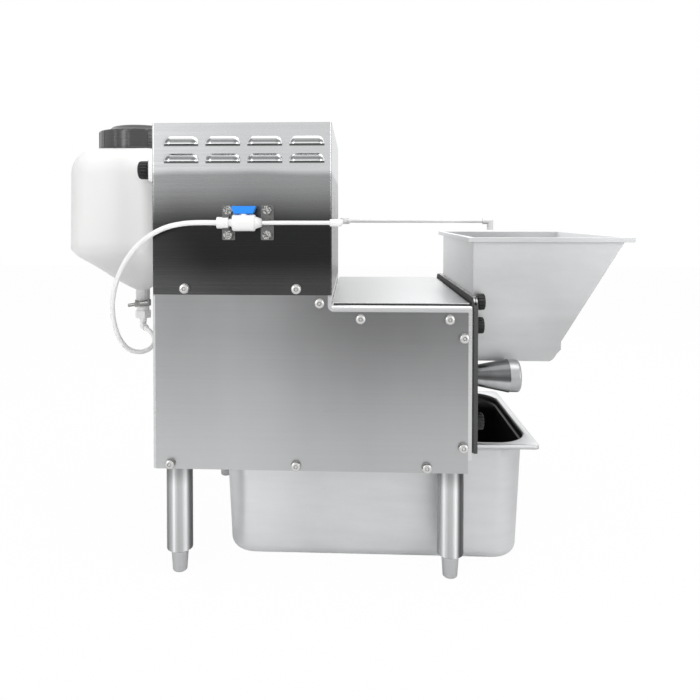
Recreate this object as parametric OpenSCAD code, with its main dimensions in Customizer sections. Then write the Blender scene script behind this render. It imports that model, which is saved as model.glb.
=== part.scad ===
// Electric corn grinder. Wet corn falls from the hopper to a feed screw, which presses
// it between two grooved stones, and the dough drops into a pan under the body.
// +X runs from the water tank to the hopper, +Y to the far side, +Z up from the floor.

/* [Body] */
// Length of the lower body
body_l = 494; // [470:1:540]
// Width over the side panels
body_w = 440; // [430:1:470]
// Height of the body's lower edge
body_z = 172; // [168:1:180]
// Height of the rail under the top cover's gasket
rail_z = 429.5; // [427:0.5:440]
// Height of the deck that carries the motor
deck_z = 445; // [443:1:455]
// Length of the upper housing
housing_l = 279; // [274:1:300]
// Height of the upper housing's roof
housing_z = 711; // [690:1:760]
// Sheet of the carcass
frame_t = 2; // [1.5:0.5:2.5]
// Sheet of the bolted panels and the housing
panel_t = 1.5; // [1:0.5:2]
// Louvres in a row
louvre_count = 4; // [2:1:4]
// Length of a louvre
louvre_l = 56; // [40:1:57]

/* [Stones] */
// Height of the drive shaft
shaft_z = 335; // [332:1:338]
// Diameter of the drive shaft
shaft_d = 30; // [24:1:32]
// Diameter of both stones
stone_d = 150; // [120:1:154]
// Thickness of each stone
stone_t = 30; // [24:1:32]
// Gap between the stones
stone_gap = 0.8; // [0.5:0.1:1.5]
// Furrows cut in each stone
furrow_count = 12; // [8:1:16]
// Diameter of the feed screw
screw_d = 56; // [48:1:57]
// Pitch of the feed screw
screw_pitch = 45; // [35:1:60]

/* [Drive] */
// Height of the motor's shaft
motor_z = 545; // [530:1:560]
// Diameter of the motor's barrel over its fins
motor_d = 160; // [130:1:170]
// Diameter of the motor's pulley
small_pulley_d = 80; // [70:1:100]
// Diameter of the driven pulley
large_pulley_d = 200; // [180:1:208]
// Width of both pulleys
pulley_w = 44; // [42:1:46]

/* [Front plate] */
// Thickness of the front plate
plate_t = 6; // [5:0.5:8]
// Thickness of its gasket
gasket_t = 2.5; // [2:0.5:4]
// Height of the plate's lower edge
plate_z0 = 203; // [202:1:206]
// Height of the plate's upper edge
plate_z1 = 442; // [440:1:450]
// Diameter of a black clamp knob
knob_d = 26; // [22:1:28]
// Length of a black clamp knob
knob_l = 13; // [11:1:16]
// Length of a flared gap knob
flare_l = 67; // [60:1:80]
// Widest diameter of a flared gap knob
flare_d = 51.5; // [44:0.5:52]

/* [Hopper] */
// How far the hopper's rim reaches past the body
front_reach = 257; // [240:1:280]
// How far each side of the hopper stands in from the body's side
hopper_inset = 43.5; // [43:0.5:55]
// Height of the hopper's rim
hopper_z1 = 533; // [500:1:560]
// Height of the hopper's floor
hopper_z0 = 337; // [337:1:342]
// Width of the rolled rim
rim_w = 10; // [8:1:14]

/* [Legs] */
// Diameter of a leg's tube
leg_d = 41.3; // [38:0.1:41.8]
// Height of a foot below its collar
foot_l = 32.7; // [28:0.1:40]
// Diameter of a foot at its top
foot_d = 27; // [24:1:30]

/* [Pan] */
// Length of the pan over its rim
pan_l = 530; // [500:1:540]
// How far each side of the pan's rim stands in from the body's side
pan_inset = 57.5; // [56:0.5:70]
// Height of the pan
pan_h = 200; // [150:1:200]
// Sheet of the pan
pan_t = 1; // [0.8:0.1:1.5]

/* [Tank] */
// Length of the water tank
tank_l = 175; // [165:1:200]
// Width of the water tank
tank_w = 290; // [260:1:320]
// Height of the tank's shoulder
tank_z1 = 684; // [660:1:690]
// Height where the tank's floor starts to slope
tank_z0 = 504; // [495:1:520]
// Wall of the tank
tank_t = 3; // [2.5:0.5:4]
// Diameter of the tank's cap
cap_d = 150; // [140:1:152]
// Outer diameter of the hose
hose_d = 8; // [7:0.5:9]
// Outer diameter of the rigid water pipe
pipe_d = 6.4; // [6:0.1:8]
// Height of the water pipe
pipe_z = 557; // [555:1:560]

/* [Hidden] */
$fn = 48;

// Overrun of every cut, and the clearances
cut = 1;
run_gap = 0.05;
seat_gap = 0.3;
hole_gap = 0.3;

// Places along the length
total_l = tank_l + body_l + front_reach;
x_rear = tank_l - total_l / 2;
x_front = x_rear + body_l;
x_step = x_rear + housing_l;
plate_x0 = x_front + gasket_t;
plate_x1 = plate_x0 + plate_t;

// Widths inside the body's width
hopper_w = body_w - 2 * hopper_inset;
pan_w = body_w - 2 * pan_inset;

// Carcass
frame_hw = body_w / 2 - panel_t;
wall_hw = frame_hw - frame_t;
sheet_hw = wall_hw - seat_gap;
edge_r = 6;
cover_side = 28.5;
cover_hw = frame_hw - cover_side;
cover_ledge = 15;
notch_z = 192;
front_wall_z0 = 206;
shelf_z = 216;
deck_t = 3;
gusset_t = 3;
gusset_z = 192;
gusset_w = 52;
gusset_depth = 43;
gusset_y = wall_hw - gusset_depth;

// Side panels
panel_rear = 4;
panel_front = 6;
panel_step_back = 6;
panel_step_x = x_step - panel_step_back;
panel_step_z = 419.5;
panel_fillet_r = 9;

// Bolts
bolt_d = 8;
bolt_flats = 13;
bolt_head_h = 5.3;
bolt_dimple_d = 7;
bolt_dimple_h = 1.2;
washer_d = 16;
small_washer_d = 14;
washer_t = 1.6;
hex_ratio_share = 1.1547;
rear_bolt_shares = [[0.096, 0.030], [0.802, 0.030], [0.933, 0.955]];
front_bolt_shares = [[0.681, 0.030], [0.938, 0.147], [0.9425, 0.764], [0.839, 0.868],
    [0.207, 0.868]];
housing_bolt_shares = [0.181, 0.804];
housing_bolt_up = 9.5;
housing_bolt_z = deck_z + housing_bolt_up;

// Top cover and its gasket
cover_seal_t = 2;
cover_t = 1.5;
cover_edge = 3;
cover_lip = 9;
cover_seal_in = 1;
cover_plate_side = 9;
cover_plate_hw = body_w / 2 - cover_plate_side;

// Upper housing
housing_r = 3;
flange_h = 21;
louvre_r = 15;
louvre_bulge = 6;
louvre_pitch = 65;
louvre_first = 46;
louvre_rows_down = [33, 59.5];
louvre_row_z = [for (down = louvre_rows_down) housing_z - down];
louvre_end = sqrt(pow(louvre_r, 2) - pow(louvre_r - louvre_bulge, 2));
louvre_t = 1.2;

// Motor
motor_rear = 60;
motor_l = 156;
motor_x0 = x_rear + motor_rear;
motor_x1 = motor_x0 + motor_l;
motor_bell_l = 10;
motor_bell_d = 128;
motor_core_d = 142;
fin_t = 3;
fin_count = 24;
motor_shaft_d = 24;
motor_foot_l = 110;
motor_foot_w = 150;
motor_foot_t = 12;
motor_web_w = 90;
terminal_l = 70;
terminal_w = 62;
terminal_h = 34;
cowl_l = 44;
cowl_t = 1.5;
cowl_hole_d = 9;
cowl_ring_share = [0.28, 0.5, 0.72];
fan_d = 120;
fan_l = 20;
fan_hub_d = 40;
fan_blades = 7;
fan_blade_t = 3;

// Pulleys and belts
pulley_rear = 29;
pulley_x = x_rear + pulley_rear;
belt_w = 13;
belt_foot_w = 8;
belt_h = 8;
belt_pitch = 20;
belt_lap = 0.1;
belt_spots = [-belt_pitch / 2, belt_pitch / 2];
groove_h = 10;
groove_gap = 0.4;
groove_slope = (belt_w - belt_foot_w) / 2 / belt_h;
pulley_web_t = 8;
pulley_rim_t = 18;
pulley_hub_d = 60;
pulley_holes = 5;
pulley_hole_d = 36;
belt_drop = motor_z - shaft_z;
belt_tilt = asin((large_pulley_d - small_pulley_d) / 2 / belt_drop);
belt_run = belt_drop * cos(belt_tilt);
slot_hw = 92;

// Shaft, bearings and beams
shaft_rear = 4;
shaft_front = 61;
shaft_x0 = x_rear + shaft_rear;
shaft_x1 = x_front - shaft_front;
spigot_d = 20;
spigot_reach = 125;
spigot_x1 = x_front + spigot_reach;
bearing_rear = 86;
bearing_front = 144;
bearing_spots = [x_rear + bearing_rear, x_front - bearing_front];
bearing_h = 43;
block_w = 160;
block_l = 44;
block_foot_t = 14;
block_d = 72;
block_body_l = 34;
beam_l = 56;
beam_h = 36;
beam_t = 3;

// Grinding chamber
chamber_r = 84;
chamber_t = 2;
chamber_l = 111;
chamber_x0 = x_front - chamber_l;
chamber_eye_r = 20;
chute_hw = 60;
arm_z = 318;
arm_h = 32;
gap_out = 18.5;
gap_y = hopper_w / 2 + gap_out;
arm_end = 14;
arm_reach = gap_y + arm_end;
arm_slot = 6;

// Stones, driver and carrier
driver_back = 5;
driver_x0 = chamber_x0 + driver_back;
driver_t = 10;
driver_d = 140;
driver_hub_d = 44;
driver_hub_l = 14;
running_x0 = driver_x0 + driver_t;
fixed_x0 = running_x0 + stone_t + stone_gap;
carrier_x0 = fixed_x0 + stone_t;
carrier_t = 8;
carrier_d = 156;
feed_eye_r = 32;
furrow_w = 6;
furrow_h = 2;
furrow_turn = 12;
sleeve_r = 31.5;
sleeve_t = 2;
sleeve_l = 32;
screw_gap = 2;
screw_x0 = shaft_x1 + screw_gap;
screw_root_d = 34;
screw_flight_t = 4;
screw_tip = 4;
screw_x1 = spigot_x1 - screw_tip;

// Front plate, studs and knobs
plate_corner_r = 17;
gasket_border = 46;
gasket_inset = 1;
stud_d = 8;
stud_head_d = 14;
stud_head_t = 2;
stud_out = 10;
knob_out = 15.5;
knob_y = hopper_w / 2 + knob_out;
clamp_z = [245, 396];
lug_z = 433;
lug_h = 17;
knob_round = 3;
flute_count = 12;
flute_d = 4;
flare_neck_d = 32;
flare_ring_l = 17;
flare_ring_inset = 0.8;
flare_round = 4;
gap_screw_d = 12;
gap_screw_back = 3;
gap_screw_x0 = carrier_x0 - gap_screw_back;

// Hopper
hopper_t = 1.5;
hopper_x0 = plate_x1;
rim_lap = 1;
hopper_x1 = x_front + front_reach - rim_w + rim_lap;
hopper_knee = 146.5;
hopper_knee_x = x_front + hopper_knee;
hopper_knee_z = 368;
hopper_toe_z = 356;
hopper_floor = 129;
hopper_floor_x = x_front + hopper_floor;
hopper_toe_shares = [[0.33, 0.20], [0.62, 0.62]];
rim_lip = 7;
trough_r = 30.5;
trough_reach = 135;
trough_x1 = x_front + trough_reach;

// Legs and feet
leg_rear = 35;
leg_front = 29;
leg_in = 25;
leg_spots = [for (s = [-1, 1], x = [x_rear + leg_rear, x_front - leg_front])
    [x, s * (body_w / 2 - leg_in)]];
leg_t = 1.5;
collar_z0 = foot_l + seat_gap;
collar_h = 4;
collar_d = 29;
leg_plug_h = 22;
foot_stud_d = 12;
foot_stud_l = 24;
foot_chamfer = 1.5;
foot_tip_d = 23;

// Pan
pan_y = -8;
pan_reach = 116;
pan_x1 = x_front + pan_reach;
pan_rim = 12;
pan_lip = 6;
pan_top_r = 52;
pan_floor_r = 46;
pan_bend_r = 17;
pan_taper = 8;
pan_step = 3;
pan_step_h = 14;
pan_corner_r = 8;

// Tank
tank_x1 = x_rear - seat_gap;
tank_x0 = x_rear - tank_l;
tank_r = 45;
tank_side_r = 40;
tank_cap_in = 88;
tank_cap_x = x_rear - tank_cap_in;
tank_neck_t = 4.5;
tank_neck_z = 717.7;
outlet_in = 85.5;
outlet_x = x_rear - outlet_in;
outlet_r = 13.5;
outlet_bore_r = 10.5;
outlet_z1 = 428;
outlet_z0 = 396;
ear_l = 20;
ear_y0 = 92;
ear_y1 = 178;
ear_h = 40;
tank_knob_y = 160;
tank_knob_z = 642;
tank_knob_d = 30;
tank_knob_l = 18;
cap_z0 = 687.5;
cap_z1 = 722;
cap_t = 5.8;
cap_gap = 0.7;
tank_neck_r = cap_d / 2 - cap_t - cap_gap;
cap_flange = 3;
cap_flange_t = 2.5;
cap_crown_d = 106;
cap_crown_z = 733;
cap_crown_t = 1.5;
cap_top_t = 4;
cap_ribs = 16;
cap_rib_d = 12;

// Outlet fittings under the tank
clamp_z0 = 397;
clamp_h = 11;
clamp_t = 1.2;
clamp_block = [18, 8, 9];
clamp_screw_d = 6;
clamp_screw_l = 42;
clamp_head_d = 11;
clamp_head_l = 15;
clamp_tilt = 8;
fitting_neck_r = 10.5;
fitting_neck_z = 388;
fitting_nut_flats = 26;
fitting_nut_z = 374;
fitting_stub_r = 6.5;
fitting_stub_z = 366;
fitting_bore_r = 4;
elbow_r = 6;
elbow_z = 358;
elbow_l = 20;
elbow_turn = -60;
collet_r = 4.8;
collet_t = 2;

// Route of the hose from the outlet elbow to the valve
hose_route = [
    [-362.4, -19.2, 358], [-358, -28, 358], [-351, -41, 358], [-343, -54, 357],
    [-335, -67, 354], [-328, -80, 349], [-325, -94, 342], [-328, -108, 337],
    [-337, -119, 334], [-347, -128, 336], [-356, -137, 343], [-362, -146, 354],
    [-366, -155, 368], [-368, -164, 385], [-368, -173, 403], [-366, -181, 422],
    [-361, -189, 441], [-354, -197, 460], [-344, -205, 479], [-332, -213, 497],
    [-317, -221, 514], [-300, -228, 529], [-281, -234, 541], [-260, -238, 550],
    [-238, -240, 555], [-215, -240.5, 557], [-182.2, -240.5, 557]];
hose_gap = 0.2;
hose_sides = 10;

// Valve on the housing's near side
valve_out = 20.5;
valve_y = -body_w / 2 - valve_out;
valve_in = 147;
valve_x = x_rear + valve_in;
valve_d = 25.4;
valve_l = 35;
valve_round = 3;
valve_nut_d = 17.4;
valve_nut_l = 17.5;
valve_waist_d = 12;
valve_waist_l = 6;
valve_out_l = 9.5;
valve_out_d = 19;
valve_stem_d = 14;
handle_gap = 1;
handle_z0 = pipe_z + valve_d / 2 + handle_gap;
handle_chamfer = 1;
handle_h = 11.5;
handle_l = 37;
handle_foot_l = 29;
handle_w = 13;
bracket_w = 20;
bracket_h = 54;
bracket_t = 2;
bracket_rear = 27;
bracket_front = 33;
bracket_spots = [valve_x - bracket_rear, valve_x + bracket_front];
bracket_bolt = 19;
clip_t = 2;
clip_hw = 5;

// Water pipe and drip arm
joint_r = 5.6;
joint_out = 12;
joint_x = x_step + joint_out;
joint_l = 14;
arm_y = -2;
socket_l = 14;
drip_reach = 70.5;
drip_x = x_front + drip_reach;
drip_l = 16;

// Start and stop station, and the cable gland
switch_back = 96;
switch_x = x_front - switch_back;
switch_z = 310;
switch_w = 60;
switch_h = 100;
switch_t = 24;
switch_r = 5;
switch_wall = 3;
button_d = 22;
button_out = 6;
button_l = 20;
button_pitch = 48;
button_z = [switch_z - button_pitch / 2, switch_z + button_pitch / 2];
gland_y = 130;
gland_z = 244;
gland_d = 16;
gland_flats = 22;
gland_flange_l = 6;
gland_dome_l = 16;
gland_in_l = 6;
gland_bore_r = 4.5;

// Helpers
module along_x(x, y, z) translate([x, y, z]) rotate([0, 90, 0]) children();
module along_y(x, y, z) translate([x, y, z]) rotate([-90, 0, 0]) children();
module yz_sheet(x, l) translate([x, 0, 0]) rotate([90, 0, 90]) linear_extrude(l) children();
module xz_sheet(y, w) translate([0, y + w, 0]) rotate([90, 0, 0]) linear_extrude(w) children();
module both_sides() { children(); mirror([0, 1, 0]) children(); }

// A box from its lowest to its highest corner
module block(a, b) translate(a) cube(b - a);

// A rectangle with true arcs at its corners, centred
module round_rect(w, h, r) {
    square([w - 2 * r, h], center = true);
    square([w, h - 2 * r], center = true);
    for (sx = [-1, 1], sy = [-1, 1])
        translate([sx * (w / 2 - r), sy * (h / 2 - r)]) circle(r);
}

// An upright outline with its two upper corners rounded
module arch(hw, z0, z1, r) {
    translate([-hw, z0]) square([2 * hw, z1 - z0 - r]);
    translate([r - hw, z0]) square([2 * (hw - r), z1 - z0]);
    for (s = [-1, 1]) translate([s * (hw - r), z1 - r]) circle(r);
}

// Places of the bolts on one side, as length and height
function side_spots(shares, x, l) = [for (b = shares)
    [x + b[0] * l, body_z + b[1] * (deck_z - body_z)]];
function side_bolts() = concat(side_spots(rear_bolt_shares, x_rear, housing_l),
    side_spots(front_bolt_shares, x_step, body_l - housing_l));
function housing_bolts() = [for (s = housing_bolt_shares)
    [x_rear + s * housing_l, housing_bolt_z]];

// A hexagon head on its washer, with the shank below, along +Z from the seat
module bolt(shank_l, ring_d = washer_d) {
    cylinder(d = ring_d, h = washer_t);
    translate([0, 0, washer_t]) difference() {
        cylinder(d = bolt_flats * hex_ratio_share, h = bolt_head_h, $fn = 6);
        translate([0, 0, bolt_head_h - bolt_dimple_h])
            cylinder(d = bolt_dimple_d, h = bolt_dimple_h + cut);
    }
    translate([0, 0, -shank_l]) cylinder(d = bolt_d, h = shank_l + washer_t);
}

// Body
module leg_gusset(spot) {
    y0 = spot[1] > 0 ? gusset_y : -sheet_hw;
    block([max(spot[0] - gusset_w / 2, x_rear), y0, gusset_z],
        [min(spot[0] + gusset_w / 2, x_front - frame_t), y0 + sheet_hw - gusset_y,
            gusset_z + gusset_t]);
}

module body_frame() color("silver") difference() {
    union() {
        yz_sheet(x_step, body_l - housing_l) difference() {
            arch(frame_hw, body_z, rail_z, edge_r);
            arch(wall_hw, body_z - cut, rail_z - frame_t, edge_r - frame_t);
        }
        both_sides() block([x_rear, wall_hw, body_z], [x_step, frame_hw, deck_z - deck_t]);
        block([x_step - frame_t, -wall_hw, rail_z - frame_t],
            [x_step, wall_hw, deck_z - deck_t]);
    }
    block([x_step + cover_ledge, -cover_hw, rail_z - frame_t - cut],
        [x_front - cover_ledge, cover_hw, rail_z + cut]);
    both_sides() block([x_front - panel_front, wall_hw - cut, body_z - cut],
        [x_front + cut, frame_hw + cut, notch_z]);
    for (b = side_bolts()) along_y(b[0], -body_w, b[1])
        cylinder(d = bolt_d + 2 * hole_gap, h = 2 * body_w);
}

// Sheets welded into the frame: rear wall, front wall, shelf and leg gussets
module body_walls() color("silver") {
    difference() {
        block([x_rear, -sheet_hw, body_z], [x_rear + frame_t, sheet_hw, deck_z - deck_t]);
        along_x(x_rear - cut, gland_y, gland_z)
            cylinder(d = gland_d + 2 * hole_gap, h = frame_t + 2 * cut);
    }
    difference() {
        yz_sheet(x_front - frame_t, frame_t)
            arch(sheet_hw, front_wall_z0, rail_z - frame_t - seat_gap, edge_r - frame_t);
        along_x(x_front - frame_t - cut, 0, shaft_z)
            cylinder(r = chamber_r, h = frame_t + 2 * cut);
        block([x_front - frame_t - cut, -arm_reach - hole_gap,
            arm_z - arm_h / 2 - arm_slot],
            [x_front + cut, arm_reach + hole_gap, arm_z + arm_h / 2 + arm_slot]);
        for (z = clamp_z, s = [-1, 1])
            along_x(x_front - frame_t - cut, s * knob_y, z)
                cylinder(d = stud_d + 2 * hole_gap, h = frame_t + 2 * cut);
    }
    difference() {
        block([x_rear + frame_t + seat_gap, -sheet_hw, shelf_z - frame_t],
            [x_front - frame_t - seat_gap, sheet_hw, shelf_z]);
        block([chamber_x0 + chamber_t, -chute_hw, shelf_z - frame_t - cut],
            [x_front, chute_hw, shelf_z + cut]);
    }
    for (spot = leg_spots) leg_gusset(spot);
}

module side_panel() difference() {
    xz_sheet(-body_w / 2, panel_t) {
        translate([x_rear + panel_rear, body_z])
            square([body_l - panel_rear - panel_front, panel_step_z - body_z]);
        translate([x_rear + panel_rear, body_z])
            square([panel_step_x - x_rear - panel_rear, deck_z - body_z]);
        difference() {
            translate([panel_step_x, panel_step_z]) square(panel_fillet_r);
            translate([panel_step_x + panel_fillet_r, panel_step_z + panel_fillet_r])
                circle(panel_fillet_r);
        }
    }
    for (b = side_bolts()) along_y(b[0], -body_w / 2 - cut, b[1])
        cylinder(d = bolt_d + 2 * hole_gap, h = panel_t + 2 * cut);
}
module side_panel_near() color("silver") side_panel();
module side_panel_far() color("silver") mirror([0, 1, 0]) side_panel();

module panel_bolts() color("gainsboro") both_sides()
    for (b = concat(side_bolts(), housing_bolts()))
        translate([b[0], -body_w / 2, b[1]]) rotate([90, 0, 0]) bolt(panel_t + frame_t);

module cover_outline(hw, edge) translate([x_step + edge, -hw])
    square([body_l - housing_l - 2 * edge, 2 * hw]);
module cover_gasket() color("black") translate([0, 0, rail_z]) linear_extrude(cover_seal_t)
    difference() {
        cover_outline(cover_plate_hw - cover_seal_in, cover_edge);
        cover_outline(cover_hw, cover_ledge);
    }
module top_cover() color("silver") translate([0, 0, rail_z + cover_seal_t]) {
    linear_extrude(cover_t) cover_outline(cover_plate_hw, cover_edge);
    translate([0, 0, -cover_lip]) linear_extrude(cover_lip) difference() {
        cover_outline(cover_hw - seat_gap, cover_ledge + seat_gap);
        cover_outline(cover_hw - seat_gap - cover_t, cover_ledge + seat_gap + cover_t);
    }
}

// Upper housing with pressed louvres
module louvre_solid(r) {
    along_x(louvre_end - louvre_l / 2, 0, 0) cylinder(r = r, h = louvre_l - 2 * louvre_end);
    for (s = [-1, 1]) translate([s * (louvre_l / 2 - louvre_end), 0, 0]) sphere(r);
}
module louvre_half(r) intersection() {
    louvre_solid(r);
    block([-louvre_l, -louvre_r, 0], [louvre_l, 0, louvre_r]);
}
module at_louvres() both_sides() for (i = [0 : louvre_count - 1], z = louvre_row_z)
    translate([x_rear + louvre_first + i * louvre_pitch,
        -body_w / 2 - louvre_bulge + louvre_r, z]) children();

module upper_housing() color("silver") difference() {
    union() {
        translate([x_rear + housing_l / 2, 0, deck_z]) linear_extrude(housing_z - deck_z)
            difference() {
                round_rect(housing_l, body_w, housing_r);
                round_rect(housing_l - 2 * panel_t, frame_hw * 2, housing_r - panel_t);
            }
        translate([x_rear + housing_l / 2, 0, housing_z - panel_t]) linear_extrude(panel_t)
            round_rect(housing_l, body_w, housing_r);
        difference() {
            at_louvres() louvre_half(louvre_r);
            block([x_rear, -frame_hw, deck_z], [x_step, frame_hw, housing_z]);
        }
    }
    at_louvres() louvre_half(louvre_r - louvre_t);
    for (b = housing_bolts()) along_y(b[0], -body_w, b[1])
        cylinder(d = bolt_d + 2 * hole_gap, h = 2 * body_w);
    for (x = bracket_spots, s = [-1, 1])
        along_y(x, -body_w / 2 - cut, pipe_z + s * bracket_bolt)
            cylinder(d = bolt_d + 2 * hole_gap, h = panel_t + 2 * cut);
    for (s = [-1, 1]) along_x(x_rear - cut, s * tank_knob_y, tank_knob_z)
        cylinder(d = stud_d + 2 * hole_gap, h = panel_t + 2 * cut);
}

module motor_deck() color("gray") difference() {
    union() {
        block([x_rear, -frame_hw, deck_z - deck_t], [x_step, frame_hw, deck_z]);
        both_sides() block([x_rear + panel_rear, wall_hw, deck_z],
            [x_step - panel_rear, frame_hw, deck_z + flange_h]);
    }
    block([x_rear + frame_t, -slot_hw, deck_z - deck_t - cut],
        [x_rear + motor_foot_t + pulley_w, slot_hw, deck_z + cut]);
    for (b = housing_bolts()) along_y(b[0], -body_w, b[1])
        cylinder(d = bolt_d + 2 * hole_gap, h = 2 * body_w);
}

// Motor
module motor_case() color("slategray") difference() {
    union() {
        along_x(motor_x0 + motor_bell_l, 0, motor_z)
            cylinder(d = motor_core_d, h = motor_x1 - motor_x0 - 2 * motor_bell_l);
        along_x(motor_x0, 0, motor_z) cylinder(d = motor_bell_d, h = motor_x1 - motor_x0);
        for (i = [0 : fin_count - 1])
            translate([motor_x0 + 2 * motor_bell_l, 0, motor_z])
                rotate([(i + 1 / 2) * 360 / fin_count, 0, 0])
                    translate([0, -fin_t / 2, motor_core_d / 2 - fin_t])
                        cube([motor_x1 - motor_x0 - 4 * motor_bell_l, fin_t,
                            (motor_d - motor_core_d) / 2 + fin_t]);
        translate([(motor_x0 + motor_x1) / 2, 0, deck_z]) {
            block([-motor_foot_l / 2, -motor_foot_w / 2, 0],
                [motor_foot_l / 2, motor_foot_w / 2, motor_foot_t]);
            block([-motor_foot_l / 2, -motor_web_w / 2, 0],
                [motor_foot_l / 2, motor_web_w / 2, motor_z - deck_z]);
        }
        translate([(motor_x0 + motor_x1) / 2, 0, motor_z]) linear_extrude(
            motor_core_d / 2 + terminal_h) round_rect(terminal_l, terminal_w, edge_r);
    }
    along_x(motor_x0 - cut, 0, motor_z)
        cylinder(d = motor_shaft_d + 2 * run_gap, h = motor_x1 - motor_x0 + 2 * cut);
}

module fan_cowl() color("dimgray") difference() {
    along_x(motor_x1 - motor_bell_l, 0, motor_z)
        cylinder(d = motor_bell_d + 2 * cowl_t, h = cowl_l + motor_bell_l);
    along_x(motor_x1 - motor_bell_l - cut, 0, motor_z)
        cylinder(d = motor_bell_d, h = cowl_l + motor_bell_l - cowl_t + cut);
    for (ring = cowl_ring_share, i = [0 : 11])
        along_x(motor_x1, 0, motor_z) rotate(i * 30)
            translate([ring * motor_bell_d / 2, 0, 0])
                cylinder(d = cowl_hole_d, h = cowl_l + cut);
}

module motor_fan() color("black") translate([motor_x1 + motor_bell_l, 0, motor_z])
    difference() {
        union() {
            along_x(0, 0, 0) cylinder(d = fan_hub_d, h = fan_l);
            along_x(0, 0, 0) cylinder(d = fan_d - fan_l, h = fan_blade_t);
            for (i = [0 : fan_blades - 1]) rotate([i * 360 / fan_blades, 0, 0])
                block([fan_blade_t / 2, -fan_blade_t / 2, fan_hub_d / 2 - fan_blade_t / 2],
                    [fan_l - fan_blade_t / 2, fan_blade_t / 2, fan_d / 2]);
        }
        along_x(-cut, 0, 0) cylinder(d = motor_shaft_d, h = fan_l + 2 * cut);
    }

module motor_shaft() color("lightgray") along_x(shaft_x0, 0, motor_z)
    cylinder(d = motor_shaft_d, h = motor_x1 + motor_bell_l + fan_l - shaft_x0);

// Pulleys: the rim's outline is turned, with a V groove for each belt
function groove(r, spot) = [
    [r, spot - belt_w / 2 - groove_gap],
    [r - groove_h, spot - belt_w / 2 - groove_gap + groove_h * groove_slope],
    [r - groove_h, spot + belt_w / 2 + groove_gap - groove_h * groove_slope],
    [r, spot + belt_w / 2 + groove_gap]];
module pulley(d, bore) difference() {
    rotate_extrude() polygon(concat([[bore / 2, -pulley_w / 2], [d / 2, -pulley_w / 2]],
        groove(d / 2, belt_spots[0]), groove(d / 2, belt_spots[1]),
        [[d / 2, pulley_w / 2], [bore / 2, pulley_w / 2]]));
    if (d > 3 * pulley_hub_d) {
        for (s = [0, 1]) mirror([0, 0, s]) translate([0, 0, pulley_web_t / 2])
            rotate_extrude() translate([pulley_hub_d / 2, 0])
                square([d / 2 - pulley_rim_t - pulley_hub_d / 2, pulley_w]);
        for (i = [0 : pulley_holes - 1]) rotate(i * 360 / pulley_holes)
            translate([(pulley_hub_d + d - 2 * pulley_rim_t) / 4, 0, -pulley_w])
                cylinder(d = pulley_hole_d, h = 2 * pulley_w);
    }
}
module motor_pulley() color("dimgray") along_x(pulley_x, 0, motor_z)
    pulley(small_pulley_d, motor_shaft_d);
module drive_pulley() color("dimgray") along_x(pulley_x, 0, shaft_z)
    pulley(large_pulley_d, shaft_d);

// A V belt: two turned arcs joined by two straight runs along the common tangents
module belt_section(r) polygon([[r - belt_h, -belt_foot_w / 2], [r, -belt_w / 2],
    [r, belt_w / 2], [r - belt_h, belt_foot_w / 2]]);
module belt_loop() {
    translate([0, shaft_z]) rotate(180 - belt_tilt)
        rotate_extrude(angle = 180 + 2 * belt_tilt) belt_section(large_pulley_d / 2);
    translate([0, motor_z]) rotate(belt_tilt)
        rotate_extrude(angle = 180 - 2 * belt_tilt) belt_section(small_pulley_d / 2);
    for (s = [0, 1]) mirror([s, 0, 0]) translate([0, shaft_z]) rotate(belt_tilt)
        translate([0, -belt_lap]) rotate([-90, 0, 0]) linear_extrude(belt_run + 2 * belt_lap)
            belt_section(large_pulley_d / 2);
}
module drive_belts() color("black") for (spot = belt_spots)
    translate([pulley_x + spot, 0, 0]) rotate([90, 0, 90]) belt_loop();

// Shaft on two pillow blocks
module main_shaft() color("lightgray") {
    along_x(shaft_x0, 0, shaft_z) cylinder(d = shaft_d, h = shaft_x1 - shaft_x0);
    along_x(shaft_x1, 0, shaft_z) cylinder(d = spigot_d, h = spigot_x1 - shaft_x1);
}
module pillow_block(x) difference() {
    union() {
        translate([x, 0, shaft_z - bearing_h]) {
            block([-block_l / 2, -block_w / 2, 0], [block_l / 2, block_w / 2, block_foot_t]);
            block([-block_body_l / 2, -block_d / 2, 0],
                [block_body_l / 2, block_d / 2, bearing_h]);
            for (s = [-1, 1]) translate([0, s * (block_w + block_d) / 4, block_foot_t])
                cylinder(d = bolt_flats * hex_ratio_share, h = bolt_head_h, $fn = 6);
        }
        along_x(x - block_body_l / 2, 0, shaft_z) cylinder(d = block_d, h = block_body_l);
        along_x(x - block_l / 2, 0, shaft_z) cylinder(d = shaft_d + block_foot_t, h = block_l);
    }
    along_x(x - block_l, 0, shaft_z) cylinder(d = shaft_d + 2 * run_gap, h = 2 * block_l);
}
module shaft_bearings() color("darkgreen") for (x = bearing_spots) pillow_block(x);
module bearing_beams() color("gray") for (x = bearing_spots) difference() {
    block([x - beam_l / 2, -wall_hw, shaft_z - bearing_h - beam_h],
        [x + beam_l / 2, wall_hw, shaft_z - bearing_h]);
    block([x - beam_l / 2 + beam_t, -wall_hw - cut, shaft_z - bearing_h - beam_h - cut],
        [x + beam_l / 2 - beam_t, wall_hw + cut, shaft_z - bearing_h - beam_t]);
}

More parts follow.
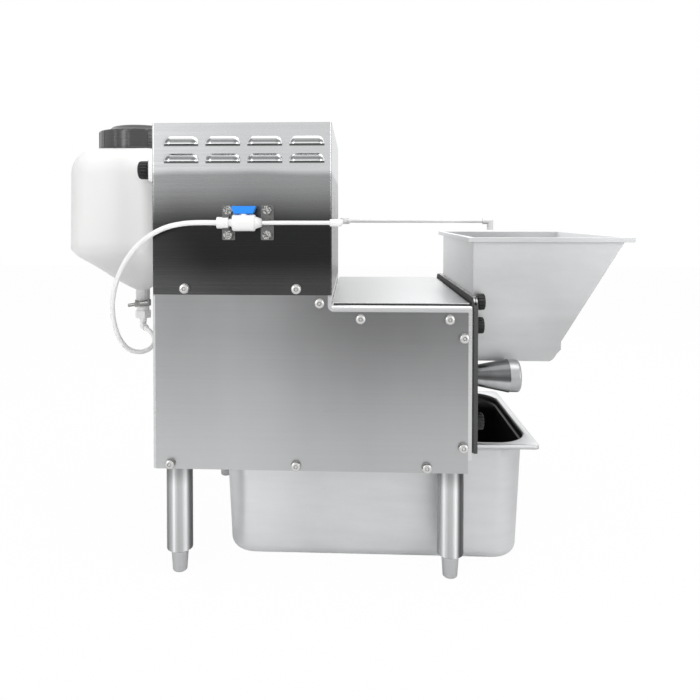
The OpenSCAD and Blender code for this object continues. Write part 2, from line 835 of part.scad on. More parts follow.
// Chamber round the stones, with a chute to the pan
module grinding_chamber() color("silver") difference() {
    union() {
        along_x(chamber_x0, 0, shaft_z)
            cylinder(r = chamber_r + chamber_t, h = x_front - frame_t - chamber_x0);
        block([chamber_x0, -chute_hw - chamber_t, shelf_z],
            [x_front - frame_t, chute_hw + chamber_t, shaft_z]);
    }
    along_x(chamber_x0 + chamber_t, 0, shaft_z) cylinder(r = chamber_r, h = body_l);
    block([chamber_x0 + chamber_t, -chute_hw, shelf_z - cut], [x_front, chute_hw, shaft_z]);
    along_x(chamber_x0 - cut, 0, shaft_z) cylinder(r = chamber_eye_r, h = frame_t + 2 * cut);
    block([carrier_x0 - arm_slot, -body_w, arm_z - arm_h / 2 - arm_slot],
        [x_front, body_w, arm_z + arm_h / 2 + arm_slot]);
}

// Stones: radial furrows, each turned a little, on the faces that meet
module furrows(x) for (i = [0 : furrow_count - 1]) translate([x, 0, shaft_z])
    rotate([i * 360 / furrow_count, 0, 0]) translate([0, 0, feed_eye_r + furrow_w])
        rotate([furrow_turn, 0, 0])
            block([-furrow_h, -furrow_w / 2, 0], [furrow_h, furrow_w / 2, stone_d]);
module stone_driver() color("gray") difference() {
    union() {
        along_x(driver_x0, 0, shaft_z) cylinder(d = driver_d, h = driver_t);
        along_x(driver_x0 - driver_hub_l, 0, shaft_z)
            cylinder(d = 2 * chamber_eye_r - driver_t / 2, h = driver_hub_l);
    }
    along_x(chamber_x0 - driver_hub_l, 0, shaft_z) cylinder(d = shaft_d, h = body_l);
}
module running_stone() color("darkgray") difference() {
    along_x(running_x0, 0, shaft_z) cylinder(d = stone_d, h = stone_t);
    along_x(running_x0 - cut, 0, shaft_z) cylinder(d = shaft_d + 2 * hole_gap,
        h = stone_t + 2 * cut);
    furrows(running_x0 + stone_t);
}
module fixed_stone() color("darkgray") difference() {
    along_x(fixed_x0, 0, shaft_z) cylinder(d = stone_d, h = stone_t);
    along_x(fixed_x0 - cut, 0, shaft_z) cylinder(r = feed_eye_r, h = stone_t + 2 * cut);
    furrows(fixed_x0);
}
module stone_carrier() color("gray") difference() {
    union() {
        along_x(carrier_x0, 0, shaft_z) cylinder(d = carrier_d, h = carrier_t);
        block([carrier_x0, -arm_reach, arm_z - arm_h / 2],
            [carrier_x0 + carrier_t, arm_reach, arm_z + arm_h / 2]);
    }
    along_x(carrier_x0 - cut, 0, shaft_z) cylinder(r = feed_eye_r, h = carrier_t + 2 * cut);
    for (s = [-1, 1]) along_x(carrier_x0 - cut, s * gap_y, arm_z)
        cylinder(d = gap_screw_d + 4 * run_gap, h = carrier_t + 2 * cut);
}

// Feed screw: one flight wound round a turned core
module feed_screw() color("lightgray") difference() {
    union() {
        along_x(screw_x0, 0, shaft_z) cylinder(d = screw_root_d, h = screw_x1 - screw_x0);
        along_x(screw_x0, 0, shaft_z) linear_extrude(screw_x1 - screw_x0,
            twist = -360 * (screw_x1 - screw_x0) / screw_pitch, slices = 64, $fn = 8)
                translate([0, -screw_flight_t])
                    square([screw_d / 2, 2 * screw_flight_t]);
    }
    along_x(screw_x0 - cut, 0, shaft_z)
        cylinder(d = spigot_d, h = screw_x1 - screw_x0 + 2 * cut);
}

// Front plate
module plate_holes(x, l) {
    for (z = clamp_z, s = [-1, 1]) along_x(x - cut, s * knob_y, z)
        cylinder(d = stud_d + 2 * hole_gap, h = l + 2 * cut);
    for (s = [-1, 1]) along_x(x - cut, s * gap_y, arm_z)
        cylinder(d = gap_screw_d + 2 * hole_gap, h = l + 2 * cut);
}
module front_plate() color("silver") difference() {
    union() {
        yz_sheet(plate_x0, plate_t) arch(body_w / 2, plate_z0, plate_z1, plate_corner_r);
        along_x(plate_x1 - sleeve_l, 0, shaft_z) cylinder(r = sleeve_r, h = sleeve_l);
    }
    along_x(plate_x1 - sleeve_l - cut, 0, shaft_z)
        cylinder(r = sleeve_r - sleeve_t, h = sleeve_l + 2 * cut);
    plate_holes(plate_x0, plate_t);
}
module plate_gasket() color("black") difference() {
    yz_sheet(x_front, gasket_t) difference() {
        arch(body_w / 2 - gasket_inset, plate_z0 + gasket_inset, plate_z1 - gasket_inset,
            plate_corner_r);
        translate([0, shaft_z - cut]) round_rect(body_w - 2 * gasket_border,
            2 * chamber_r + gasket_t, plate_corner_r);
    }
    plate_holes(x_front, gasket_t);
}

// Studs of the front plate's knobs, of the hopper's knobs and of the tank's knobs
module weld_studs() color("lightgray") {
    for (z = clamp_z, s = [-1, 1]) {
        along_x(x_front - frame_t - stud_head_t, s * knob_y, z)
            cylinder(d = stud_head_d, h = stud_head_t);
        along_x(x_front - frame_t - stud_head_t, s * knob_y, z)
            cylinder(d = stud_d, h = plate_x1 + stud_out - x_front + frame_t + stud_head_t);
    }
    for (s = [-1, 1]) {
        along_x(plate_x1, s * knob_y, lug_z)
            cylinder(d = stud_d, h = hopper_t + stud_out);
        along_x(x_rear + panel_t, s * tank_knob_y, tank_knob_z)
            cylinder(d = stud_head_d, h = stud_head_t);
        along_x(tank_x1 - ear_l - tank_knob_l + panel_t, s * tank_knob_y, tank_knob_z)
            cylinder(d = stud_d, h = ear_l + tank_knob_l + stud_head_t);
    }
}

// A fluted knob along +Z, with a blind hole in its foot
module fluted_knob(d, l, hole_l) difference() {
    rotate_extrude() {
        square([d / 2 - knob_round, l]);
        square([d / 2, l - knob_round]);
        translate([d / 2 - knob_round, l - knob_round]) circle(knob_round);
    }
    for (i = [0 : flute_count - 1]) rotate(i * 360 / flute_count)
        translate([d / 2 + flute_d / 4, 0, -cut]) cylinder(d = flute_d, h = l + 2 * cut);
    translate([0, 0, -cut]) cylinder(d = stud_d + 4 * run_gap, h = hole_l + cut);
}
module plate_knob(x, s, z) color("black") along_x(x + seat_gap, s * knob_y, z)
    fluted_knob(knob_d, knob_l, stud_out + seat_gap);
module clamp_knob_1() plate_knob(plate_x1, -1, clamp_z[0]);
module clamp_knob_2() plate_knob(plate_x1, -1, clamp_z[1]);
module clamp_knob_3() plate_knob(plate_x1, 1, clamp_z[0]);
module clamp_knob_4() plate_knob(plate_x1, 1, clamp_z[1]);
module hopper_knob_near() plate_knob(hopper_x0 + hopper_t, -1, lug_z);
module hopper_knob_far() plate_knob(hopper_x0 + hopper_t, 1, lug_z);
module tank_knob(s) color("black")
    translate([tank_x1 - ear_l - seat_gap, s * tank_knob_y, tank_knob_z])
        rotate([0, -90, 0])
            fluted_knob(tank_knob_d, tank_knob_l, tank_knob_l - panel_t);
module tank_knob_near() tank_knob(-1);
module tank_knob_far() tank_knob(1);

// A flared steel knob whose screw sets the gap between the stones
module gap_knob(s) color("silver") {
    along_x(plate_x1 + seat_gap, s * gap_y, arm_z) rotate_extrude() {
        polygon([[0, 0], [flare_neck_d / 2, 0], [flare_d / 2, flare_l - flare_ring_l],
            [0, flare_l - flare_ring_l]]);
        translate([0, flare_l - flare_ring_l]) {
            square([flare_d / 2 - flare_ring_inset - flare_round, flare_ring_l]);
            square([flare_d / 2 - flare_ring_inset, flare_ring_l - flare_round]);
            translate([flare_d / 2 - flare_ring_inset - flare_round,
                flare_ring_l - flare_round]) circle(flare_round);
        }
    }
    along_x(gap_screw_x0, s * gap_y, arm_z)
        cylinder(d = gap_screw_d, h = plate_x1 + seat_gap - gap_screw_x0);
}
module gap_knob_near() gap_knob(-1);
module gap_knob_far() gap_knob(1);

// Hopper: a folded prism with a slanted front, over a trough for the screw
hopper_slant = atan2(hopper_z1 - hopper_knee_z, hopper_x1 - hopper_knee_x);
function toe(i, t) = [
    hopper_floor_x - t / 2 + hopper_toe_shares[i][0] * (hopper_knee_x - hopper_floor_x),
    hopper_z0 + t + hopper_toe_shares[i][1] * (hopper_toe_z - hopper_z0)];
function hopper_outline(t, over) = [
    [hopper_x0 + t, hopper_z0 + t], [hopper_floor_x - t / 2, hopper_z0 + t],
    toe(0, t), toe(1, t), [hopper_knee_x - t, hopper_toe_z + t / 2],
    [hopper_knee_x - t, hopper_knee_z + t / 2],
    [hopper_x1 - t / sin(hopper_slant) + over / tan(hopper_slant), hopper_z1 + over],
    [hopper_x0 + t, hopper_z1 + over]];
module hopper_plan(grow) translate([hopper_x0 - grow, -hopper_w / 2 - grow])
    square([hopper_x1 - hopper_x0 + 2 * grow, hopper_w + 2 * grow]);
module hopper() color("silver") difference() {
    union() {
        xz_sheet(-hopper_w / 2, hopper_w) polygon(hopper_outline(0, 0));
        translate([0, 0, hopper_z1 - rim_lip]) linear_extrude(rim_lip) difference() {
            hopper_plan(rim_w - rim_lap);
            hopper_plan(rim_w - rim_lap - hopper_t);
        }
        translate([0, 0, hopper_z1 - hopper_t]) linear_extrude(hopper_t)
            hopper_plan(rim_w - rim_lap);
        along_x(hopper_x0, 0, shaft_z)
            cylinder(r = trough_r + hopper_t, h = trough_x1 - hopper_x0);
        both_sides() yz_sheet(hopper_x0, hopper_t) translate([hopper_w / 2 - lug_h, 0]) {
            translate([0, lug_z - lug_h / 2])
                square([knob_y - hopper_w / 2 + lug_h, lug_h]);
            translate([knob_y - hopper_w / 2 + lug_h, lug_z]) circle(d = lug_h);
        }
    }
    xz_sheet(hopper_t - hopper_w / 2, hopper_w - 2 * hopper_t)
        polygon(hopper_outline(hopper_t, cut));
    along_x(hopper_x0 - cut, 0, shaft_z)
        cylinder(r = trough_r, h = trough_x1 - hopper_x0 + cut - hopper_t);
    both_sides() along_x(hopper_x0 - cut, knob_y, lug_z)
        cylinder(d = stud_d + 2 * hole_gap, h = hopper_t + 2 * cut);
}

// Legs and feet
module leg_tube() {
    difference() {
        translate([0, 0, collar_z0 + collar_h])
            cylinder(d = leg_d, h = gusset_z - collar_z0 - collar_h);
        translate([0, 0, collar_z0 + collar_h + leg_plug_h])
            cylinder(d = leg_d - 2 * leg_t, h = gusset_z);
        cylinder(d = foot_stud_d + 4 * run_gap, h = gusset_z);
    }
    translate([0, 0, collar_z0]) rotate_extrude() polygon([
        [foot_stud_d / 2 + 2 * run_gap, 0], [collar_d / 2, 0], [leg_d / 2, collar_h],
        [foot_stud_d / 2 + 2 * run_gap, collar_h]]);
}
module legs() color("silver") for (spot = leg_spots) translate([spot[0], spot[1], 0])
    leg_tube();
module foot(spot) color("lightgray") translate([spot[0], spot[1], 0]) {
    rotate_extrude() polygon([[0, 0], [foot_tip_d / 2 - foot_chamfer, 0],
        [foot_tip_d / 2, foot_chamfer], [foot_d / 2, foot_l - foot_chamfer],
        [foot_d / 2, foot_l], [0, foot_l]]);
    cylinder(d = foot_stud_d, h = foot_l + foot_stud_l);
}
module foot_1() foot(leg_spots[0]);
module foot_2() foot(leg_spots[1]);
module foot_3() foot(leg_spots[2]);
module foot_4() foot(leg_spots[3]);

// Deep drawn pan: tapered walls with a round bend at the floor and a stacking step
module pan_puck(r, bend) rotate_extrude($fn = 32) {
    square([r - bend, bend]);
    intersection() {
        translate([r - bend, bend]) circle(bend, $fn = 24);
        translate([r - bend, 0]) square(bend);
    }
}
module pan_form(inset) {
    top_l = pan_l - 2 * pan_rim - 2 * pan_step;
    top_w = pan_w - 2 * pan_rim - 2 * pan_step;
    hull() {
        for (sx = [-1, 1], sy = [-1, 1]) {
            translate([sx * (top_l / 2 - pan_top_r), sy * (top_w / 2 - pan_top_r),
                pan_h - pan_step_h - inset]) cylinder(r = pan_top_r - inset,
                    h = 2 * inset + pan_t, $fn = 32);
            translate([sx * (top_l / 2 - pan_taper - pan_floor_r),
                sy * (top_w / 2 - pan_taper - pan_floor_r), inset])
                    pan_puck(pan_floor_r - inset, pan_bend_r - inset);
        }
    }
}
module catch_pan() color("silver") translate([pan_x1 - pan_l / 2, pan_y, 0]) {
    difference() {
        pan_form(0);
        pan_form(pan_t);
    }
    difference() {
        union() {
            translate([0, 0, pan_h - pan_step_h]) linear_extrude(pan_step_h) round_rect(
                pan_l - 2 * pan_rim, pan_w - 2 * pan_rim, pan_top_r + pan_step);
            translate([0, 0, pan_h - pan_lip]) linear_extrude(pan_lip)
                round_rect(pan_l, pan_w, pan_corner_r);
        }
        translate([0, 0, pan_h - pan_step_h + pan_t]) linear_extrude(pan_step_h)
            round_rect(pan_l - 2 * pan_rim - 2 * pan_t, pan_w - 2 * pan_rim - 2 * pan_t,
                pan_top_r + pan_step - pan_t);
        translate([0, 0, pan_h - pan_step_h - cut]) linear_extrude(pan_step_h)
            round_rect(pan_l - 2 * pan_rim - 2 * pan_step - 2 * pan_t,
                pan_w - 2 * pan_rim - 2 * pan_step - 2 * pan_t, pan_top_r - pan_t);
        translate([0, 0, pan_h - pan_lip - cut]) linear_extrude(pan_lip + cut - pan_t)
            difference() {
                round_rect(pan_l - 2 * pan_t, pan_w - 2 * pan_t, pan_corner_r - pan_t);
                round_rect(pan_l - 2 * pan_rim, pan_w - 2 * pan_rim, pan_top_r + pan_step);
            }
    }
}

// Blow moulded tank: round shoulders, a sloping floor and an outlet neck
module tank_form(inset) hull() {
    for (x = [tank_x0 + tank_r, tank_x1 - tank_r], s = [-1, 1])
        translate([x, s * (tank_w / 2 - tank_r), tank_z1 - tank_r])
            sphere(tank_r - inset, $fn = 32);
    for (x = [tank_x0 + tank_side_r, tank_x1 - tank_side_r], s = [-1, 1])
        translate([x, s * (tank_w / 2 - tank_side_r), tank_z0])
            cylinder(r = tank_side_r - inset, h = tank_side_r, $fn = 32);
    translate([outlet_x, 0, outlet_z1 + inset]) cylinder(r = outlet_r - inset,
        h = tank_t, $fn = 32);
}
module water_tank() color("white") difference() {
    union() {
        tank_form(0);
        translate([tank_cap_x, 0, tank_z1 - tank_t])
            cylinder(r = tank_neck_r, h = tank_neck_z - tank_z1 + tank_t);
        translate([outlet_x, 0, outlet_z0]) cylinder(r = outlet_r,
            h = outlet_z1 - outlet_z0 + tank_t);
        both_sides() block([tank_x1 - ear_l, ear_y0, tank_knob_z - ear_h / 2],
            [tank_x1, ear_y1, tank_knob_z + ear_h / 2]);
    }
    tank_form(tank_t);
    translate([tank_cap_x, 0, tank_z1 - 2 * tank_t])
        cylinder(r = tank_neck_r - tank_neck_t, h = tank_neck_z);
    translate([outlet_x, 0, outlet_z0 - cut]) cylinder(r = outlet_bore_r,
        h = outlet_z1 - outlet_z0 + 2 * tank_side_r);
    both_sides() along_x(tank_x1 - ear_l - cut, tank_knob_y, tank_knob_z)
        cylinder(d = stud_d + 2 * hole_gap, h = ear_l + 2 * cut);
}
module tank_cap() color("black") translate([tank_cap_x, 0, 0]) difference() {
    union() {
        translate([0, 0, cap_z0]) cylinder(d = cap_d, h = cap_z1 - cap_z0);
        translate([0, 0, cap_z0]) cylinder(d = cap_d + 2 * cap_flange, h = cap_flange_t);
        translate([0, 0, cap_z1]) rotate_extrude() polygon([[0, 0],
            [(cap_d - cap_t) / 2, 0], [cap_crown_d / 2, cap_crown_z - cap_z1],
            [0, cap_crown_z - cap_z1 + cap_crown_t]]);
    }
    translate([0, 0, cap_z0 - cut])
        cylinder(d = cap_d - 2 * cap_t, h = cap_z1 - cap_z0 + cut - cap_top_t);
    for (i = [0 : cap_ribs - 1]) rotate((i + 1 / 2) * 360 / cap_ribs)
        translate([(cap_d + cap_rib_d) / 2 - cap_flange / 2, 0, cap_z0 + cap_flange_t])
            cylinder(d = cap_rib_d, h = cap_z1);
}

// Outlet under the tank
module outlet_clamp() color("silver") translate([outlet_x, 0, clamp_z0]) {
    difference() {
        cylinder(r = outlet_r + run_gap + clamp_t, h = clamp_h);
        translate([0, 0, -cut]) cylinder(r = outlet_r + run_gap, h = clamp_h + 2 * cut);
    }
    translate([0, -outlet_r - clamp_t - clamp_block[1] / 2, clamp_h / 2])
        rotate([0, -clamp_tilt, 0]) {
            cube(clamp_block, center = true);
            along_x(-clamp_screw_l / 2 - clamp_t, 0, 0)
                cylinder(d = clamp_screw_d, h = clamp_screw_l / 2);
            along_x(clamp_t, 0, 0)
                cylinder(d = clamp_head_d, h = clamp_head_l);
        }
}
module outlet_fitting() color("white") translate([outlet_x, 0, 0]) difference() {
    union() {
        translate([0, 0, fitting_nut_z])
            cylinder(r = outlet_bore_r - run_gap, h = outlet_z1 - fitting_nut_z);
        translate([0, 0, fitting_neck_z])
            cylinder(r = fitting_neck_r + clamp_t, h = outlet_z0 - fitting_neck_z);
        translate([0, 0, fitting_nut_z]) cylinder(d = fitting_nut_flats * hex_ratio_share,
            h = fitting_neck_z - fitting_nut_z, $fn = 6);
        translate([0, 0, fitting_stub_z])
            cylinder(r = fitting_stub_r, h = fitting_nut_z - fitting_stub_z);
    }
    translate([0, 0, fitting_stub_z - cut]) cylinder(r = fitting_bore_r, h = outlet_z1);
}
module outlet_elbow() color("white") translate([outlet_x, 0, elbow_z]) {
    cylinder(r = elbow_r, h = fitting_stub_z - elbow_z);
    sphere(elbow_r);
    rotate(elbow_turn) {
        along_x(0, 0, 0) cylinder(r = elbow_r, h = elbow_l);
        along_x(elbow_l, 0, 0) cylinder(r = collet_r, h = collet_t);
    }
}

// Hose swept along its route, one ring of corners at each point
function unit(v) = v / norm(v);
function way(p, i) = unit(p[min(i + 1, len(p) - 1)] - p[max(i - 1, 0)]);
function side_of(t) = unit(cross(t, [0.2, 0.1, 1]));
function hose_ring(c, t, r) = [for (k = [0 : hose_sides - 1])
    c + r * (cos(k * 360 / hose_sides) * side_of(t)
        + sin(k * 360 / hose_sides) * cross(t, side_of(t)))];
hose_start = [outlet_x, 0, elbow_z] + (elbow_l + collet_t + hose_gap)
    * [cos(elbow_turn), sin(elbow_turn), 0];
hose_end = [valve_x - valve_l / 2 - valve_waist_l - valve_nut_l - hose_gap, valve_y, pipe_z];
function hose_path(rings = len(hose_route)) = [for (i = [0 : rings - 1])
    hose_route[i] + (hose_start - hose_route[0]) * (1 - i / (rings - 1))
        + (hose_end - hose_route[rings - 1]) * i / (rings - 1)];
module water_hose() color("white") {
    rings = len(hose_route);
    path = hose_path();
    polyhedron(
        points = [for (i = [0 : rings - 1])
            each hose_ring(path[i], way(path, i), hose_d / 2)],
        faces = concat(
            [[for (k = [0 : hose_sides - 1]) hose_sides - 1 - k]],
            [for (i = [0 : rings - 2], k = [0 : hose_sides - 1])
                each [[i * hose_sides + k, i * hose_sides + (k + 1) % hose_sides,
                    (i + 1) * hose_sides + (k + 1) % hose_sides],
                    [i * hose_sides + k, (i + 1) * hose_sides + (k + 1) % hose_sides,
                    (i + 1) * hose_sides + k]]],
            [[for (k = [0 : hose_sides - 1]) (rings - 1) * hose_sides + k]]));
}

// Valve
module valve_body() color("white") translate([valve_x, valve_y, pipe_z]) {
    along_x(-valve_l / 2, 0, 0) rotate_extrude() {
        square([valve_d / 2 - valve_round, valve_l]);
        translate([0, valve_round]) square([valve_d / 2, valve_l - 2 * valve_round]);
        for (z = [valve_round, valve_l - valve_round])
            translate([valve_d / 2 - valve_round, z]) circle(valve_round);
    }
    along_x(-valve_l / 2 - valve_waist_l, 0, 0)
        cylinder(d = valve_waist_d, h = valve_waist_l);
    along_x(-valve_l / 2 - valve_waist_l - valve_nut_l, 0, 0)
        cylinder(d = valve_nut_d, h = valve_nut_l);
    along_x(valve_l / 2, 0, 0)
        cylinder(d1 = valve_out_d, d2 = valve_waist_d, h = valve_out_l);
    cylinder(d = valve_stem_d, h = valve_d / 2 + handle_gap - seat_gap);
}
module valve_handle() color("dodgerblue") translate([valve_x, valve_y, handle_z0])
    xz_sheet(-handle_w / 2, handle_w) polygon([[-handle_foot_l / 2, 0],
        [handle_foot_l / 2, 0], [handle_l / 2, handle_h - handle_chamfer],
        [handle_l / 2 - handle_chamfer, handle_h],
        [handle_chamfer - handle_l / 2, handle_h],
        [-handle_l / 2, handle_h - handle_chamfer]]);

// Saddle brackets that hold the valve and the pipe off the housing
module valve_brackets() color("silver") for (i = [0, 1]) {
    x = bracket_spots[i];
    held_d = i == 0 ? valve_nut_d : pipe_d;
    difference() {
        union() {
            xz_sheet(-body_w / 2 - bracket_t, bracket_t) translate([x, pipe_z])
                round_rect(bracket_w, bracket_h, bracket_t);
            along_x(x - clip_hw, valve_y, pipe_z)
                cylinder(d = held_d + 2 * clip_t, h = 2 * clip_hw);
            block([x - clip_hw, valve_y, pipe_z - held_d / 4],
                [x + clip_hw, -body_w / 2, pipe_z + held_d / 4]);
        }
        along_x(x - bracket_w, valve_y, pipe_z)
            cylinder(d = held_d + 2 * run_gap, h = 2 * bracket_w);
        block([x - bracket_w, valve_y - 2 * held_d, pipe_z - held_d],
            [x + bracket_w, valve_y - held_d / 4, pipe_z + held_d]);
    }
    for (s = [-1, 1]) translate([x, -body_w / 2 - bracket_t, pipe_z + s * bracket_bolt])
        rotate([90, 0, 0]) bolt(bracket_t + panel_t, small_washer_d);
}

// Rigid pipe along the housing and across its front, and the arm that swings on it
module water_pipe() color("white") {
    x0 = valve_x + valve_l / 2 + valve_out_l;
    along_x(x0, valve_y, pipe_z) cylinder(d = pipe_d, h = joint_x - x0);
    along_x(joint_x - joint_l, valve_y, pipe_z) cylinder(r = joint_r, h = joint_l);
    translate([joint_x, valve_y, pipe_z]) sphere(joint_r);
    along_y(joint_x, valve_y, pipe_z) cylinder(r = joint_r, h = joint_l);
    along_y(joint_x, valve_y, pipe_z) cylinder(d = pipe_d, h = arm_y - valve_y);
}
module drip_arm() color("white") difference() {
    union() {
        along_y(joint_x, arm_y - socket_l + pipe_d, pipe_z)
            cylinder(r = joint_r, h = socket_l);
        along_x(joint_x, arm_y + pipe_d / 2, pipe_z) cylinder(r = joint_r, h = socket_l);
        along_x(joint_x, arm_y + pipe_d / 2, pipe_z)
            cylinder(d = pipe_d, h = drip_x - joint_x);
        along_x(drip_x - socket_l, arm_y + pipe_d / 2, pipe_z)
            cylinder(r = joint_r, h = socket_l);
        translate([drip_x, arm_y + pipe_d / 2, pipe_z]) sphere(joint_r);
        translate([drip_x, arm_y + pipe_d / 2, pipe_z - drip_l])
            cylinder(r = joint_r, h = drip_l);
    }
    along_y(joint_x, arm_y - socket_l, pipe_z)
        cylinder(d = pipe_d + 2 * run_gap, h = socket_l + seat_gap);
    translate([drip_x, arm_y + pipe_d / 2, pipe_z - drip_l - cut])
        cylinder(d = pipe_d, h = drip_l + cut);
}

// Start and stop station on the far side
module switch_box() color("dimgray") difference() {
    xz_sheet(body_w / 2, switch_t) translate([switch_x, switch_z])
        round_rect(switch_w, switch_h, switch_r);
    xz_sheet(body_w / 2 + switch_wall, switch_t - 2 * switch_wall)
        translate([switch_x, switch_z]) round_rect(switch_w - 2 * switch_wall,
            switch_h - 2 * switch_wall, switch_r - switch_wall);
    for (z = button_z) along_y(switch_x, body_w / 2 + switch_wall, z)
        cylinder(d = button_d + 2 * hole_gap, h = switch_t);
}
module push_button(z) {
    along_y(switch_x, body_w / 2 + switch_t + button_out - button_l, z)
        cylinder(d = button_d, h = button_l);
    along_y(switch_x, body_w / 2 + switch_t - 2 * switch_wall, z)
        cylinder(d = button_d + switch_wall, h = switch_wall - seat_gap);
}
module start_button() color("green") push_button(button_z[1]);
module stop_button() color("red") push_button(button_z[0]);

// Gland for the mains cord, in the rear wall
module cable_gland() color("black") difference() {
    union() {
        along_x(x_rear - gland_flange_l, gland_y, gland_z)
            cylinder(d = gland_flats * hex_ratio_share, h = gland_flange_l, $fn = 6);
        along_x(x_rear - gland_flange_l - gland_dome_l, gland_y, gland_z)
            cylinder(d1 = gland_d, d2 = gland_flats, h = gland_dome_l);
        along_x(x_rear, gland_y, gland_z) cylinder(d = gland_d, h = frame_t + gland_in_l);
        along_x(x_rear + frame_t, gland_y, gland_z)
            cylinder(d = gland_flats * hex_ratio_share, h = gland_in_l, $fn = 6);
    }
    along_x(x_rear - body_l, gland_y, gland_z) cylinder(r = gland_bore_r, h = 2 * body_l);
}

body_frame();
body_walls();
side_panel_near();
side_panel_far();
panel_bolts();
top_cover();
cover_gasket();
upper_housing();
motor_deck();
motor_case();
fan_cowl();
motor_fan();
motor_shaft();
motor_pulley();
drive_belts();
drive_pulley();
main_shaft();
shaft_bearings();
bearing_beams();
grinding_chamber();
stone_driver();
running_stone();
fixed_stone();
stone_carrier();
feed_screw();
front_plate();
plate_gasket();
weld_studs();
clamp_knob_1();
clamp_knob_2();
clamp_knob_3();
clamp_knob_4();
hopper_knob_near();
hopper_knob_far();
gap_knob_near();
gap_knob_far();
hopper();
legs();
foot_1();
foot_2();
foot_3();
foot_4();
catch_pan();
water_tank();
tank_cap();
tank_knob_near();
tank_knob_far();
outlet_clamp();
outlet_fitting();
outlet_elbow();
water_hose();
valve_body();
valve_handle();
valve_brackets();
water_pipe();
drip_arm();
switch_box();
start_button();
stop_button();
cable_gland();
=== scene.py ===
import math

import bmesh
import bpy
from mathutils import Matrix, Vector


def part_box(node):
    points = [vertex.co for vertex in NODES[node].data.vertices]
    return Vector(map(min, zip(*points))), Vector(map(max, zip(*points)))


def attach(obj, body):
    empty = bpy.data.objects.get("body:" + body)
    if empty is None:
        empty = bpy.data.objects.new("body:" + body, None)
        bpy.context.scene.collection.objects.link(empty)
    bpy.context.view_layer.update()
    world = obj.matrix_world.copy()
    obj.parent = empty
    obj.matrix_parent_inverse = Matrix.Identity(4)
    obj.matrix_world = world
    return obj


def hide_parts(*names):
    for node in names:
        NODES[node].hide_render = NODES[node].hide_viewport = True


bl_info = {
    "name": "Electric Corn Grinder",
    "version": (1, 0, 0),
    "blender": (4, 5, 0),
    "location": "View3D > Sidebar > Grinder",
    "description": "Builds the visible pieces and finishes of an electric corn grinder",
    "category": "Object",
}

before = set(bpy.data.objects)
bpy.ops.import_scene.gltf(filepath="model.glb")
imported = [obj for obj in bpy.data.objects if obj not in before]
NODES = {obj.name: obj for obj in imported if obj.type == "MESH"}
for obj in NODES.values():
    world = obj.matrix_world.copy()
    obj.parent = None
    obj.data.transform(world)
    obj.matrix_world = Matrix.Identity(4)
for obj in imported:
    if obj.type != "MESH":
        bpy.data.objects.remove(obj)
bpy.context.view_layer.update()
MM = 0.001
# Half the body's width: the side panels' outer faces stand here
BODY_SIDE = 0.22
# Louvres: rear end of a row, pitch along it, front end of a row, and the foot of each row
LOUVRE_START, LOUVRE_PITCH, LOUVRE_END = -0.2745, 0.065, -0.0145
LOUVRE_FEET = (0.678, 0.6515)
VALVE_HEIGHT = 0.557
# Brushing: changes per metre along X, Y and Z. Streaks lie where the number is small
LEVEL_BRUSH, COVER_BRUSH, TUBE_BRUSH = (2, 2, 420), (420, 2, 2), (500, 500, 3)
# Tints of the smaller pieces
FOLD, COVER, TOE = (0.62, 0.625, 0.63), (0.52, 0.525, 0.53), (0.54, 0.545, 0.55)
BRACKET, CLAMP = (0.19, 0.19, 0.187), (0.26, 0.26, 0.255)
CAP, HOSE = (0.055, 0.055, 0.057), (0.94, 0.94, 0.935)
# Camera: its place, how far it turns left and dips, its lens and the shift of its picture
CAMERA_PLACE, CAMERA_TURN, CAMERA_DIP = (0.024, -1.238, 0.571), 2.6, 1.3
LENS, SENSOR, SHIFT = 34.15, 36, (0.0385, -0.1735)
# Lamps: name, place, what they aim at, width, height and power
LAMPS = (("overhead softbox", (0.1, -0.4, 2.3), (0.0, 0.0, 0.4), 2.2, 1.6, 24),
         ("left strip", (-1.5, -2.0, 1.1), (0.0, 0.0, 0.4), 0.4, 1.7, 12),
         ("right strip", (1.7, -1.9, 1.0), (0.1, 0.0, 0.35), 0.4, 1.7, 10),
         ("rear strip", (0.9, 1.9, 1.5), (0.0, 0.0, 0.4), 1.6, 0.5, 7))


class Sock:
    """A shader socket that can stand in a Python expression."""

    def __init__(self, finish, socket):
        self.finish, self.socket = finish, socket

    def math(self, operation, *others):
        return self.finish.node("ShaderNodeMath", {"operation": operation}, [self, *others])

    def __add__(self, o):
        return self.math("ADD", o)

    def __mul__(self, o):
        return self.math("MULTIPLY", o)

    __radd__, __rmul__ = __add__, __mul__

    def __sub__(self, o):
        return self.math("SUBTRACT", o)

    def __rsub__(self, o):
        return self.finish.node("ShaderNodeMath", {"operation": "SUBTRACT"}, [o, self])

    def __truediv__(self, o):
        return self.math("DIVIDE", o)

    def band(self, low, high):
        """0 below low, 1 above high, smooth between them."""
        return self.finish.node("ShaderNodeMapRange", {"interpolation_type": "SMOOTHSTEP"},
                                {"Value": self, "From Min": low, "From Max": high})

    def away(self, near, far):
        """0 within near of zero on either side, 1 beyond far, smooth between them."""
        return (self * self).band(near ** 2, far ** 2)


